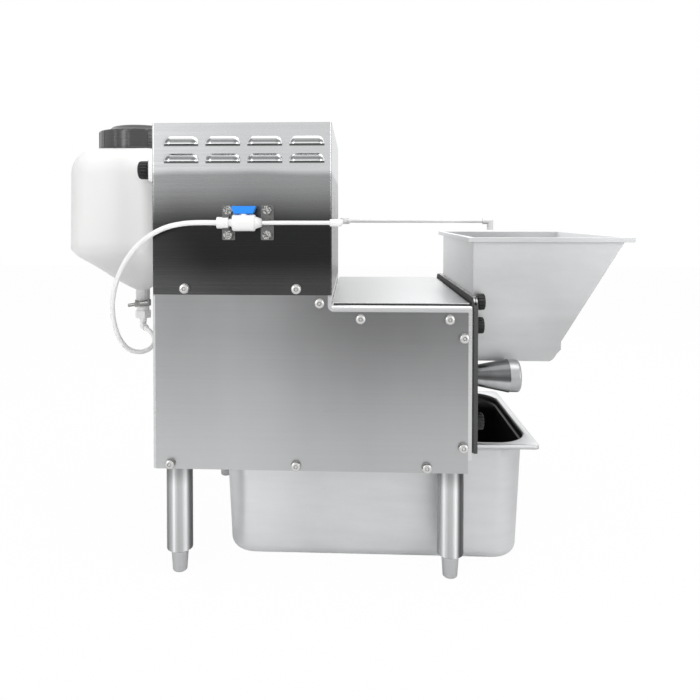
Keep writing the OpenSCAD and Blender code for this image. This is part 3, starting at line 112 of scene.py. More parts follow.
class Finish:
    """A material, or the world, under construction. node() adds any node and returns its
    first output."""

    def __init__(self, name, world=None):
        self.material = world or bpy.data.materials.new(name)
        self.material.use_nodes = True
        self.tree = self.material.node_tree
        self.shader = self.tree.nodes["Background" if world else "Principled BSDF"]
        self.point = self.node("ShaderNodeTexCoord", output="Object")

    def set(self, socket, value):
        if isinstance(value, Sock):
            self.tree.links.new(value.socket, socket)
        else:
            socket.default_value = value

    def node(self, kind, settings=None, values=(), output=0):
        n = self.tree.nodes.new(kind)
        for key, value in (settings or {}).items():
            setattr(n, key, value)
        pairs = values.items() if isinstance(values, dict) else enumerate(values)
        for key, value in pairs:
            self.set(n.inputs[key], value)
        return Sock(self, n.outputs[output])

    def axis(self, letter):
        return self.node("ShaderNodeSeparateXYZ", None, [self.point], letter)

    def facing(self, letter):
        """One part of the surface's own direction in the object's axes, from -1 to 1."""
        way = self.node("ShaderNodeTexCoord", output="Normal")
        return self.node("ShaderNodeSeparateXYZ", None, [way], letter)

    def ramp(self, value, *stops):
        """A grey level for each place of value, from pairs of place and level."""
        made = self.node("ShaderNodeValToRGB", values=[value])
        marks = made.socket.node.color_ramp.elements
        while len(marks) < len(stops):
            marks.new(0.5)
        for mark, (place, grey) in zip(marks, stops):
            mark.position, mark.color = place, (grey, grey, grey, 1)
        return made

    def scaled(self, tint, factor):
        return self.node("ShaderNodeVectorMath", {"operation": "SCALE"},
                         {"Vector": tint, "Scale": factor})

    def noise(self, scale, detail, stretch=(1, 1, 1), rough=0.5):
        place = self.node("ShaderNodeMapping", None,
                          {"Vector": self.point, "Scale": stretch})
        return self.node("ShaderNodeTexNoise", values={
            "Vector": place, "Scale": scale, "Detail": detail, "Roughness": rough})

    def rings(self):
        """Fine rings round the X axis, as a lathe leaves them."""
        return self.node("ShaderNodeTexNoise", {"noise_dimensions": "1D"},
                         {"W": self.axis("X"), "Scale": 1400.0, "Detail": 3})

    def mix(self, factor, a, b):
        n = self.tree.nodes.new("ShaderNodeMix")
        n.data_type = "RGBA"
        for socket, value in ((n.inputs[0], factor), (n.inputs[6], a), (n.inputs[7], b)):
            if not isinstance(value, (Sock, float, int)):
                value = (*value[:3], 1)
            self.set(socket, value)
        return Sock(self, n.outputs[2])

    def done(self, colour, rough, bump=None, **others):
        """The finished material. bump is a height, its depth in metres and its strength.
        Other inputs of the shader are named with _ for each space."""
        inputs = {"Base_Color": colour, "Roughness": rough, **others}
        if bump:
            inputs["Normal"] = self.node("ShaderNodeBump", None, dict(
                zip(("Height", "Distance", "Strength"), bump)))
        for key, value in inputs.items():
            self.set(self.shader.inputs[key.replace("_", " ")], value)
        return self.material


FINISHES = {}


def finish(name, maker, *args, **kw):
    if name not in FINISHES:
        FINISHES[name] = maker(name, *args, **kw)
    return FINISHES[name]


def deeper(tint, share):
    return tuple(share * c for c in tint)


def brushed_sheet(name, tint, rough, stretch, streak=0.10, smudge=0.06, tone=None,
                  flat_lay=False):
    """Stainless sheet with brushing drawn out along one axis, faint smudges and lay.
    tone gives the sheet's painted light and shade, from the finish under construction.
    flat_lay keeps the lay to the flat faces, off the pressed louvres."""
    f = Finish(name)
    grain = f.noise(1, 4, stretch)
    fine = f.noise(1, 2, tuple(3 * s for s in stretch))
    cloud = f.noise(9, 2)
    level = (grain - 0.5) * streak + (cloud - 0.5) * smudge + (fine - 0.5) * (streak / 2) + 1
    if tone:
        # Painted light and shade, given by tone
        level = level * tone(f)
    lay = grain * 0.6 + fine * 0.4
    if flat_lay:
        out, ahead = f.facing("Y"), f.facing("X")
        lay = lay * ((out * out).band(0.9, 0.99) + (ahead * ahead).band(0.9, 0.99))
    return f.done(f.scaled(tint, level), (grain - 0.5) * 0.16 + (cloud - 0.5) * 0.12 + rough,
                  (lay, 0.00003, 0.2), Metallic=1.0)


def housing_painted_light(f):
    """Housing sheet with painted reflections: pale round the louvres, deep below them,
    lighter at the foot.
    """
    x, y, z = f.axis("X"), f.axis("Y"), f.axis("Z")
    # Painted reflections: pale high up round the louvres, deep below them, lighter at the
    # foot and the rear
    wavy = z + (f.noise(5, 2) - 0.5) * 0.02
    high = wavy.band(0.628, 0.640) * 0.62 + wavy.band(0.542, 0.628) * 0.55
    foot = 1 - z.band(0.452, 0.505)
    rear = 1 - (x + z * 0.7).band(0.06, 0.16)
    sheet = high + foot * 0.09 + rear * 0.05 + 0.055
    # Painted highlights and shade on the hoods of the louvres, which stand off the side
    # faces: bright at the crease and the lower edge, dark between, black underneath
    out, up = f.facing("Y"), f.facing("Z")
    hood = f.ramp(1 - out * out, (0, 0.7), (0.08, 0.36), (0.25, 0.30), (0.37, 0.55),
                  (0.46, 1.55), (0.7, 1.6))
    hood_lit_edge = 1 - up.band(0.06, 0.17)
    hood = (hood * (1 - hood_lit_edge) + hood_lit_edge * 1.6) * up.band(-0.6, -0.2)
    raised = y.away(BODY_SIDE + 0.0006, BODY_SIDE + 0.0014)
    # Painted shadow in a thin band below each hood, on the side faces and between the ends
    # of a row
    slot_shadow = 0.0
    for row in LOUVRE_FEET:
        slot_shadow = slot_shadow + (z - row).band(-0.0036, -0.0024) - (z - row).band(-0.0002, 0.0003)
    across = ((x - LOUVRE_START) / LOUVRE_PITCH).math("FRACT") - 0.5
    slot_shadow = slot_shadow * (1 - across.away(0.405, 0.425)) * (1 - raised)
    slot_shadow = slot_shadow * x.band(LOUVRE_START, LOUVRE_START + 0.002)
    slot_shadow = slot_shadow * (1 - x.band(LOUVRE_END - 0.002, LOUVRE_END))
    slot_shadow = slot_shadow * y.away(BODY_SIDE - 0.0015, BODY_SIDE - 0.0005)
    return sheet * (1 - raised + raised * hood) * (1 - slot_shadow * 0.8)


def panel_painted_light(f):
    """Side panel with painted reflections: light at the lower edge and the rear, deeper
    toward the cover.
    """
    x, z = f.axis("X"), f.axis("Z")
    # Painted reflections: a deeper band from the middle to the front, deepest toward the
    # cover
    middle = x.band(-0.14, 0.03) - x.band(0.03, 0.21) * 0.22
    lay = (f.noise(1, 2, (14, 14, 1)) - 0.5) * 0.10
    middle = middle * (z.band(0.2, 0.45) * 0.16 + 0.13)
    return 1.06 - z.band(0.14, 0.47) * 0.40 - middle + lay


def tube_painted_light(f):
    """Polished tube: two painted highlights along it, painted dark reflections on its sides,
    and painted shadow under the body.
    """
    round_it = f.facing("X") * 0.5 + f.axis("X") * 0.45 + 0.5
    # Painted highlights and dark reflections round the tube
    lines = f.ramp(round_it, (0, 0.50), (0.09, 0.85), (0.19, 1.15), (0.275, 2.1),
                   (0.35, 1.35), (0.44, 1.0), (0.59, 1.1), (0.66, 1.6), (0.725, 2.0),
                   (0.785, 1.2), (0.84, 0.5), (0.9, 0.2))
    # Painted shadow under the body, toward the tube's top
    return lines * (1 - f.axis("Z").band(0.138, 0.170) * 0.4)


def satin_sheet(name, tint, rough, middle=None):
    """Bead-dulled sheet of the hopper and pan: soft mottling, faint handling marks.
    A piece with a middle is a vessel, with painted shade on its inner faces and painted
    light on its rear part."""
    f = Finish(name)
    cloud = f.noise(14, 3)
    marks = f.noise(1, 3, (9, 9, 60), 0.6)
    speck = f.noise(700, 2)
    height = f.axis("Z")
    above_pan = height.band(0.3, 0.35)
    # Painted light and shade: lighter high up, darker low down, lighter toward the hopper's
    # rear end
    tone = ((cloud - 0.5) * 0.16 + (marks - 0.5) * 0.16 + (speck - 0.5) * 0.07
            + height.band(0.34, 0.54) * 0.20 - height.band(-0.05, 0.2) * 0.38 + 1.30
            + (f.axis("X") * -0.35 + 0.11) * above_pan)
    if middle:
        x, y = f.axis("X") - middle[0], f.axis("Y") - middle[1]
        outward = x * f.facing("X") * 0.5 + y * f.facing("Y")
        # Painted shade on the vessel's inner faces below the rim, and painted light on its
        # rear part
        inner = (1 - outward.band(-0.06, -0.02)) * (1 - height.band(0.199, 0.203))
        rear = 1 - x.band(-0.24, -0.08)
        tone = (tone + 0.16 + rear * 0.22) * (1 - inner * 0.8)
    else:
        # Painted light on the faces that look rearward
        tone = tone + (1 - f.facing("X").band(-0.9, -0.5)) * above_pan * 0.3
    return f.done(f.scaled(tint, tone), (cloud - 0.5) * 0.14 + rough,
                  (speck * 0.5 + marks * 0.5, 0.00006, 0.35), Metallic=1.0)


def cut_plate(name, tint, rough):
    """Thick plate: brushed faces; faces that look sideways are darker except in dashes near
    the top, and faces that look up carry dark dashes.
    """
    f = Finish(name)
    grain = f.noise(1, 4, (2, 500, 2))
    teeth = f.noise(1, 3, (400, 60, 60))
    side = f.facing("Y")
    edge = (side * side).band(0.3, 0.8)
    top = f.facing("Z").band(0.25, 0.8)
    slope = f.axis("Z").band(0.433, 0.438) * teeth.band(0.44, 0.52)
    level = (1 - edge * (1 - slope * 0.8) * 0.82 - top * (teeth.band(0.42, 0.58) * 0.7)
             + (grain - 0.5) * 0.12)
    return f.done(f.scaled(tint, level), (grain - 0.5) * 0.15 + edge * 0.12 + rough,
                  (grain * 0.5 + teeth * 0.5, 0.00008, 0.4), Metallic=1.0)


def flared_steel(name, tint, rough):
    """Polished cone with a dulled ring, and painted reflections by the way it faces: deep
    above, a bright band below the middle.
    """
    f = Finish(name)
    along, up = f.axis("X"), f.facing("Z")
    ring, cloud = f.rings(), f.noise(40, 2)
    # Painted reflections round the cone, by how far each face looks up
    cone = f.ramp(up * 0.5 + 0.5, (0, 0.10), (0.05, 0.6), (0.2, 1.0), (0.38, 1.25),
                  (0.46, 0.30), (0.55, 0.24), (0.68, 0.50), (0.84, 0.30), (0.93, 0.34),
                  (1, 0.3))
    collar = along.band(0.2645, 0.2652)
    level = (cone * (1 - collar) + collar * 1.1) * ((cloud - 0.5) * 0.7 + 1) + (
        ring - 0.5) * 0.14
    return f.done(f.scaled(tint, level), (ring - 0.5) * 0.12 + collar * 0.12 + rough,
                  (ring, 0.00004, 0.5), Metallic=1.0)


def turned_metal(name, tint, rough):
    """Metal turned in a lathe about X: fine rings and a soft change of shine."""
    f = Finish(name)
    ring, cloud = f.rings(), f.noise(40, 2)
    colour = f.mix(ring.band(0.25, 0.75), deeper(tint, 0.82), tint)
    return f.done(colour, (ring - 0.5) * 0.18 + (cloud - 0.5) * 0.08 + rough,
                  (ring, 0.00004, 0.5), Metallic=1.0)


def bracket_painted_light(f):
    """Brackets: dull plates; on their bolts' heads, painted glints on the outward flats and
    painted shade on the other faces.
    """
    out = f.facing("Y")
    head = (f.axis("Y").away(BODY_SIDE + 0.0026, BODY_SIDE + 0.0034)
            * (f.axis("Z") - VALVE_HEIGHT).away(0.011, 0.012))
    glint = (f.noise(420, 2) - 0.5).band(-0.12, 0.12) - 0.5
    # Painted glints on the heads' outward flats, painted shade on their other faces
    return 1 + head * (out * out).band(0.5, 0.95) * (glint * 2.6 + 1.6) - head * 0.6


def bolt_painted_light(f):
    """Bolts: painted highlight on the faces that look outward, painted shade on the sides
    and where a surface slopes into the dimple.
    """
    out = f.facing("Y")
    # Painted highlight where a face looks outward, painted shade on the rest
    return (out * out).band(0.35, 0.95) * 0.75 + 0.30


def zinc_plate(name, tint, rough, level=None):
    """Zinc-plated steel with a faint spangle. level paints light and shade on some faces."""
    f = Finish(name)
    cloud = f.noise(120, 3)
    spangle = f.node("ShaderNodeTexVoronoi", None, {"Vector": f.point, "Scale": 420.0},
                     "Color")
    tone = f.node("ShaderNodeSeparateXYZ", None, [spangle], "X")
    colour = f.mix(tone * 0.25 + cloud * 0.3, tint, deeper(tint, 0.72))
    if level:
        colour = f.scaled(colour, level(f))
    return f.done(colour, (cloud - 0.5) * 0.2 + rough, (cloud, 0.00005, 0.3), Metallic=1.0)


def cast_metal(name, tint, metallic, rough):
    """Sand-cast surface: fine pebbling with paint or oil lying in it."""
    f = Finish(name)
    pebble = f.noise(520, 4)
    cloud = f.noise(22, 3)
    colour = f.mix(pebble.band(0.3, 0.7) * 0.5 + cloud * 0.4, deeper(tint, 0.7), tint)
    return f.done(colour, (cloud - 0.5) * 0.2 + rough, (pebble, 0.0002, 0.5),
                  Metallic=metallic)


def dressed_stone(name, tint):
    """Stone with open pores and coarse grains."""
    f = Finish(name)
    grains = f.node("ShaderNodeTexVoronoi", None, {"Vector": f.point, "Scale": 330.0})
    pores = f.noise(260, 5, rough=0.7)
    colour = f.mix(pores.band(0.35, 0.65), deeper(tint, 0.45), tint)
    return f.done(colour, pores * 0.2 + 0.75, (grains * 0.5 + pores, 0.0006, 0.7))


def moulded_plastic(name, tint, rough, grain=900, depth=0.00006, wear=0.12, shine=0.5):
    """Moulded part: fine spark grain, uneven shine and slightly greyed high spots."""
    f = Finish(name)
    skin = f.noise(grain, 2)
    cloud = f.noise(35, 3)
    grey = tuple(c + (0.32 - c) * 0.35 for c in tint)
    colour = f.mix(cloud.band(0.55, 0.8) * wear, tint, grey)
    return f.done(colour, (cloud - 0.5) * 0.16 + (skin - 0.5) * 0.1 + rough,
                  (skin, depth, 0.6), Specular_IOR_Level=shine)


def tank_plastic(name, tint, rough):
    """Blow-moulded tank: cloudy wall, faint flow lines, painted shade on the sloping floor,
    darker faces toward its ends, and painted light near the housing.
    """
    f = Finish(name)
    height = f.axis("Z")
    cloud = f.noise(12, 3)
    flow = f.noise(1, 3, (6, 6, 60))
    skin = f.noise(600, 2)
    low = 1 - height.band(0.46, 0.515)
    side = f.facing("X")
    turn = (side * side).band(0.1, 0.9) * height.band(0.5, 0.6)
    # Painted shade on the sloping floor; darker on the faces that turn toward the ends
    colour = f.mix(low * 0.45 + turn * 0.3 + cloud * 0.08, tint, deeper(tint, 0.80))
    # Painted light on the side faces near the housing, where its shadow falls
    near = f.axis("X").band(-0.37, -0.295) * (1 - side * side) * 0.34 + 0.98
    return f.done(f.scaled(colour, near), (cloud - 0.5) * 0.15 + rough,
                  (flow * 0.7 + skin * 0.3, 0.00025, 0.5), Subsurface_Weight=0.15,
                  Subsurface_Radius=(0.02, 0.02, 0.02), Subsurface_Scale=0.3)


def hose_plastic(name, tint, rough):
    """Milky tube that lets a little light through."""
    f = Finish(name)
    cloud = f.noise(60, 3)
    skin = f.noise(1400, 2)
    colour = f.mix(cloud * 0.3, tint, deeper(tint, 0.9))
    return f.done(colour, (cloud - 0.5) * 0.12 + rough, (skin, 0.00003, 0.4),
                  Subsurface_Weight=0.3, Subsurface_Radius=(0.004, 0.004, 0.004))


def rubber(name, tint):
    """Dusty rubber."""
    f = Finish(name)
    cloud = f.noise(90, 3)
    skin = f.noise(1500, 2)
    colour = f.mix(cloud.band(0.5, 0.8) * 0.3, tint, (0.10, 0.10, 0.10))
    return f.done(colour, (cloud - 0.5) * 0.15 + 0.65, (skin, 0.00006, 0.6))


def placed(name, data):
    """A new object in the scene."""
    made = bpy.data.objects.new(name, data)
    bpy.context.collection.objects.link(made)
    return made


def put(name, bm, body, paint, smooth=35):
    """A finished piece: its mesh is in place, it rides on a body and takes its paint."""
    mesh = bpy.data.meshes.new(name)
    bm.to_mesh(mesh)
    bm.free()
    mesh.polygons.foreach_set("use_smooth", [True] * len(mesh.polygons))
    mesh.set_sharp_from_angle(angle=math.radians(smooth))
    mesh.materials.append(paint)
    piece = placed(name, mesh)
    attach(piece, body)
    return piece


def ring_skin(bm, rings, matrix=None, open_top=False):
    """Faces between rings of equal counts. They look outward where the rings run
    counterclockwise and are listed from the lowest to the highest."""
    made = [[bm.verts.new(matrix @ Vector(p) if matrix else p) for p in ring]
            for ring in rings]
    for low, high in zip(made, made[1:]):
        for i in range(len(low)):
            j = (i + 1) % len(low)
            bm.faces.new((low[i], low[j], high[j], high[i]))
    bm.faces.new(list(reversed(made[0])))
    if not open_top:
        bm.faces.new(made[-1])


def box_ring(cx, cy, hx, hy, r, z, n):
    """A rounded rectangle of 4n points, from the middle of the +X +Y corner onward."""
    out = []
    for k, (sx, sy) in enumerate(((1, 1), (-1, 1), (-1, -1), (1, -1))):
        for i in range(n):
            a = math.pi / 2 * (k + i / (n - 1))
            out.append((cx + sx * (hx - r) + r * math.cos(a),
                        cy + sy * (hy - r) + r * math.sin(a), z))
    return out


def lathe_rings(profile, n, cut):
    """Rings from (radius, height) pairs. cut(angle, radius, height) comes off the radius."""
    turns = [2 * math.pi * i / n for i in range(n)]
    return [[((r - cut(a, r, z)) * math.cos(a), (r - cut(a, r, z)) * math.sin(a), z)
             for a in turns] for r, z in profile]


def cad_mesh(node):
    """A node's CAD surface, with the corners of its faces joined."""
    bm = bmesh.new()
    bm.from_mesh(NODES[node].data)
    bmesh.ops.remove_doubles(bm, verts=bm.verts, dist=2e-6)
    return bm


def softened(name, node, body, paint, width):
    """A CAD node with its flat faces rejoined and its sharp edges rounded over width."""
    bm = cad_mesh(node)
    bmesh.ops.dissolve_limit(bm, angle_limit=math.radians(0.6), verts=bm.verts,
                             edges=bm.edges, delimit={"NORMAL"})
    sharp = [e for e in bm.edges if len(e.link_faces) == 2
             and e.calc_face_angle(0) > math.radians(32) and e.calc_length() > 1.2 * width]
    bmesh.ops.bevel(bm, geom=sharp, offset=width, segments=2, affect="EDGES",
                    clamp_overlap=True, profile=0.5)
    piece = put(name, bm, body, paint, 50)
    flat = piece.modifiers.new("flat faces", "WEIGHTED_NORMAL")
    flat.mode, flat.weight, flat.keep_sharp = "FACE_AREA", 100, True
    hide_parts(node)


def grown(name, places, tree, body, paint):
    """A piece that a Geometry Nodes tree grows on points. Each place holds its point, the
    way it faces and its turn about that way."""
    points = bpy.data.meshes.new(name + " seats")
    points.from_pydata([p for p, _, _ in places], [], [])
    way = points.attributes.new("facing", "FLOAT_VECTOR", "POINT")
    way.data.foreach_set("vector", [c for _, d, _ in places for c in d])
    spin = points.attributes.new("spin", "FLOAT", "POINT")
    spin.data.foreach_set("value", [s for _, _, s in places])
    base = placed(name + "_points", points)
    base.modifiers.new("tree", "NODES").node_group = tree
    evaluated = base.evaluated_get(bpy.context.evaluated_depsgraph_get())
    mesh = bpy.data.meshes.new_from_object(evaluated)
    bpy.data.objects.remove(base)
    bm = bmesh.new()
    bm.from_mesh(mesh)
    bpy.data.meshes.remove(mesh)
    bmesh.ops.remove_doubles(bm, verts=bm.verts, dist=1e-6)
    return put(name, bm, body, paint)


class Tree:
    """A Geometry Nodes tree under construction, with named number inputs."""

    def __init__(self, name, **numbers):
        self.group = bpy.data.node_groups.new(name, "GeometryNodeTree")
        face = self.group.interface
        face.new_socket("Geometry", in_out="INPUT", socket_type="NodeSocketGeometry")
        for key, value in numbers.items():
            given = face.new_socket(key, in_out="INPUT", socket_type="NodeSocketFloat")
            given.default_value = value
        face.new_socket("Geometry", in_out="OUTPUT", socket_type="NodeSocketGeometry")
        self.entry = self.group.nodes.new("NodeGroupInput")

    def node(self, kind, values, **settings):
        """Adds any node and returns its first output."""
        n = self.group.nodes.new(kind)
        for key, value in settings.items():
            setattr(n, key, value)
        for key, value in values.items():
            if isinstance(value, bpy.types.NodeSocket):
                self.group.links.new(value, n.inputs[key])
            else:
                n.inputs[key].default_value = value
        return n.outputs[0]

    def times(self, a, b):
        return self.node("ShaderNodeMath", {0: a, 1: b}, operation="MULTIPLY")

    def plus(self, a, b):
        return self.node("ShaderNodeMath", {0: a, 1: b}, operation="ADD")

    def join(self, *parts):
        n = self.group.nodes.new("GeometryNodeJoinGeometry")
        for part in reversed(parts):
            self.group.links.new(part, n.inputs[0])
        return n.outputs[0]

    def drum(self, radius, depth, base, sides, top=None, ends="NGON"):
        """A drum or cone frustum that stands on base, closed or open at its ends."""
        made = self.node("GeometryNodeMeshCone", {
            "Vertices": sides, "Radius Bottom": radius,
            "Radius Top": radius if top is None else top, "Depth": depth}, fill_type=ends)
        return self.node("GeometryNodeTransform", {
            "Geometry": made, "Translation": self.node("ShaderNodeCombineXYZ", {2: base})})

    def close(self, geometry, paint):
        real = self.node("GeometryNodeRealizeInstances", {0: geometry})
        painted = self.node("GeometryNodeSetMaterial", {"Geometry": real, "Material": paint})
        leave = self.group.nodes.new("NodeGroupOutput")
        self.group.links.new(painted, leave.inputs[0])
        return self.group


def bolt_tree(paint):
    """Hexagon bolts on washers at every point, turned to the point's normal."""
    t = Tree("hexagon bolts", Washer=0.008, Washer_height=0.0016, Head=0.0075,
             Head_height=0.0053, Shank=0.004, Shank_length=0.0035)
    geometry, washer, thick, head, high, shank, deep = t.entry.outputs[:7]
    round_sides = 24
    # The washer's upper fifth is chamfered
    edge = t.times(thick, 0.8)
    lip = t.drum(washer, edge, 0.0, 40)
    chamfer = t.drum(washer, t.times(thick, 0.2), edge, 40, t.times(washer, 0.96))
    flat_height = t.times(high, 0.82)
    flats = t.drum(head, flat_height, thick, 6)
    # The head's crown slopes in to a face, and the face dips into a dimple
    top, rise = t.plus(thick, flat_height), t.times(high, 0.18)
    rim, mouth = t.times(head, 0.74), t.times(head, 0.40)
    crown = t.drum(t.times(head, 0.93), rise, top, round_sides, rim, "NONE")
    face = t.drum(rim, 0.00002, t.plus(top, rise), round_sides, mouth, "NONE")
    dimple = t.node("GeometryNodeFlipFaces", {0: t.drum(
        t.times(head, 0.12), t.times(high, 0.45), t.times(high, 0.862), round_sides, mouth,
        "NONE")})
    stem = t.drum(shank, deep, t.times(deep, -1.0), 16)
    bolt = t.join(lip, chamfer, flats, crown, face, dimple, stem)
    points = t.node("GeometryNodeMeshToPoints", {"Mesh": geometry})
    normal = t.node("GeometryNodeInputNamedAttribute", {"Name": "facing"},
                    data_type="FLOAT_VECTOR")
    turn = t.node("FunctionNodeAlignRotationToVector", {"Vector": normal}, axis="Z")
    spin = t.node("GeometryNodeInputNamedAttribute", {"Name": "spin"}, data_type="FLOAT")
    local = t.node("FunctionNodeAxisAngleToRotation", {"Axis": (0, 0, 1), "Angle": spin})
    turned = t.node("FunctionNodeRotateRotation", {"Rotation": turn, "Rotate By": local},
                    rotation_space="LOCAL")
    bolts = t.node("GeometryNodeInstanceOnPoints", {
        "Points": points, "Instance": bolt, "Rotation": turned})
    return t.close(bolts, paint)


# Sizes and colours a user would change
def size(name, text, value, low, high):
    return bpy.props.FloatProperty(name=name, description=text, default=value, min=low,
                                   max=high, unit="LENGTH", precision=4)


def colour(name, text, value):
    return bpy.props.FloatVectorProperty(name=name, description=text, default=value, size=3,
                                         min=0, max=1, subtype="COLOR")


class GrinderSizes(bpy.types.PropertyGroup):
    edge: size("Sheet edge", "Rounding of the sheets' edges", 0.0005, 0.0002, 0.0007)
    pan_bend: size("Pan bend", "Radius at the foot of the pan's wall", 0.017, 0.015, 0.04)
    hose: size("Hose", "Outer diameter of the hose", 0.008, 0.006, 0.008)
    knob_flute: size("Knob flute", "Depth of a knob's flutes", 0.0012, 0.0004, 0.0018)
    cap_rib: size("Cap rib", "Depth of the hollows round the cap", 0.0014, 0.0006, 0.002)


class GrinderColours(bpy.types.PropertyGroup):
    steel: colour("Panels", "Tint of the side panels and plates", (0.47, 0.475, 0.48))
    housing: colour("Housing", "Tint of the housing sheet", (0.48, 0.485, 0.49))
    satin: colour("Satin", "Tint of the hopper and pan", (0.52, 0.525, 0.53))
    leg: colour("Legs", "Tint of the legs", (0.46, 0.465, 0.47))
    zinc: colour("Zinc", "Tint of the bolts", (0.62, 0.62, 0.61))
    turned: colour("Turned steel", "Tint of the flared knobs", (0.34, 0.345, 0.35))
    tank: colour("Tank", "Plastic of the tank", (0.82, 0.82, 0.815))
    white: colour("Fittings", "Plastic of the water fittings", (0.90, 0.90, 0.895))
    black: colour("Black", "Plastic of the knobs", (0.012, 0.012, 0.013))
    blue: colour("Handle", "Plastic of the valve's handle", (0.012, 0.27, 0.93))


def sizes():
    return bpy.context.scene.grinder_sizes


def tints():
    return bpy.context.scene.grinder_colours


def satin_paint():
    return finish("satin sheet", satin_sheet, tints().satin, 0.42)


def black_paint():
    return finish("black knob plastic", moulded_plastic, tints().black, 0.26, shine=0.3)


class MadePiece:
    bl_options = {"REGISTER", "UNDO"}

    def execute(self, context):
        self.make()
        return {"FINISHED"}


class MESH_OT_grinder_stage(MadePiece, bpy.types.Operator):
    """Camera, lights, floor and backdrop"""
    bl_idname = "mesh.grinder_stage"
    bl_label = "Stage"

    def make(self):
        scene = bpy.context.scene
        scene.view_settings.view_transform = "Standard"
        data = bpy.data.cameras.new("camera")
        data.sensor_width, data.lens = SENSOR, LENS
        data.shift_x, data.shift_y = SHIFT
        camera = placed("camera", data)
        camera.matrix_world = (Matrix.Translation(CAMERA_PLACE)
                               @ Matrix.Rotation(math.radians(CAMERA_TURN), 4, "Z")
                               @ Matrix.Rotation(math.radians(90 - CAMERA_DIP), 4, "X"))
        scene.camera = camera

        for name, place, aim, width, height, power in LAMPS:
            light = bpy.data.lights.new(name, "AREA")
            light.shape, light.size, light.size_y = "RECTANGLE", width, height
            light.energy = power
            lit = placed(name, light)
            lit.location = place
            way = Vector(aim) - Vector(place)
            lit.rotation_euler = way.to_track_quat("-Z", "Y").to_euler()

        # A studio that is white where it is seen or mirrored, and lights by about half
        scene.world = bpy.data.worlds.new("studio")
        sky = Finish("studio", scene.world)
        seen, mirrored, through = (
            sky.node("ShaderNodeLightPath", output=f"Is {kind} Ray")
            for kind in ("Camera", "Glossy", "Transmission"))
        seen = seen.math("MAXIMUM", mirrored.math("MAXIMUM", through))
        sky.set(sky.shader.inputs["Color"], (1, 1, 1, 1))
        sky.set(sky.shader.inputs["Strength"], sky.node(
            "ShaderNodeMapRange", None, {"Value": seen, "To Min": 0.55, "To Max": 1.0}))

        bm = bmesh.new()
        bmesh.ops.create_grid(bm, x_segments=1, y_segments=1, size=6)
        mesh = bpy.data.meshes.new("floor")
        bm.to_mesh(mesh)
        bm.free()
        floor = placed("floor", mesh)
        f = Finish("pale floor")
        sheen = f.noise(3, 2)
        f.done(f.mix(sheen, (0.93, 0.93, 0.93), (0.96, 0.96, 0.96)), sheen * 0.1 + 0.6)
        # Seen straight on, the floor is nearly as white as the backdrop
        glow = f.node("ShaderNodeEmission", None, {"Color": (1, 1, 1, 1), "Strength": 1.0})
        seen = f.node("ShaderNodeLightPath", None, (), "Is Camera Ray")
        shaded = Sock(f, f.shader.outputs[0])
        f.set(f.tree.nodes["Material Output"].inputs["Surface"],
              f.node("ShaderNodeMixShader", None, [seen * 0.97, shaded, glow]))
        mesh.materials.append(f.material)


class MESH_OT_grinder_carcass(MadePiece, bpy.types.Operator):
    """Body, side panels, cover, front plate and housing, with softened edges"""
    bl_idname = "mesh.grinder_carcass"
    bl_label = "Carcass"

    def make(self):
        edge, steel = sizes().edge, tints().steel
        fold = finish("folded carcass edge", brushed_sheet, FOLD, 0.30, LEVEL_BRUSH)
        panel = finish("brushed side panel", brushed_sheet, steel, 0.33, LEVEL_BRUSH, 0.08,
                       0.05, panel_painted_light)
        cover = finish("brushed cover", brushed_sheet, COVER, 0.34, COVER_BRUSH)
        plate = finish("cut plate", cut_plate, steel, 0.32)
        housing = finish("brushed housing sheet", brushed_sheet, tints().housing, 0.27,
                         (2, 2, 520), 0.12, 0.06, housing_painted_light, True)
        for name, node, paint in (
                ("carcass", "body_frame", fold), ("carcass_walls", "body_walls", fold),
                ("near_panel", "side_panel_near", panel),
                ("far_panel", "side_panel_far", panel)):
            softened(name, node, "body", paint, edge)
        softened("cover_plate", "top_cover", "cover", cover, edge)
        softened("front_plate_body", "front_plate", "body", plate, edge)
        softened("housing_shell", "upper_housing", "body", housing, edge)


class MESH_OT_grinder_hopper(MadePiece, bpy.types.Operator):
    """Hopper with a folded rim"""
    bl_idname = "mesh.grinder_hopper"
    bl_label = "Hopper"

    def make(self):
        softened("hopper_shell", "hopper", "body", satin_paint(), sizes().edge)


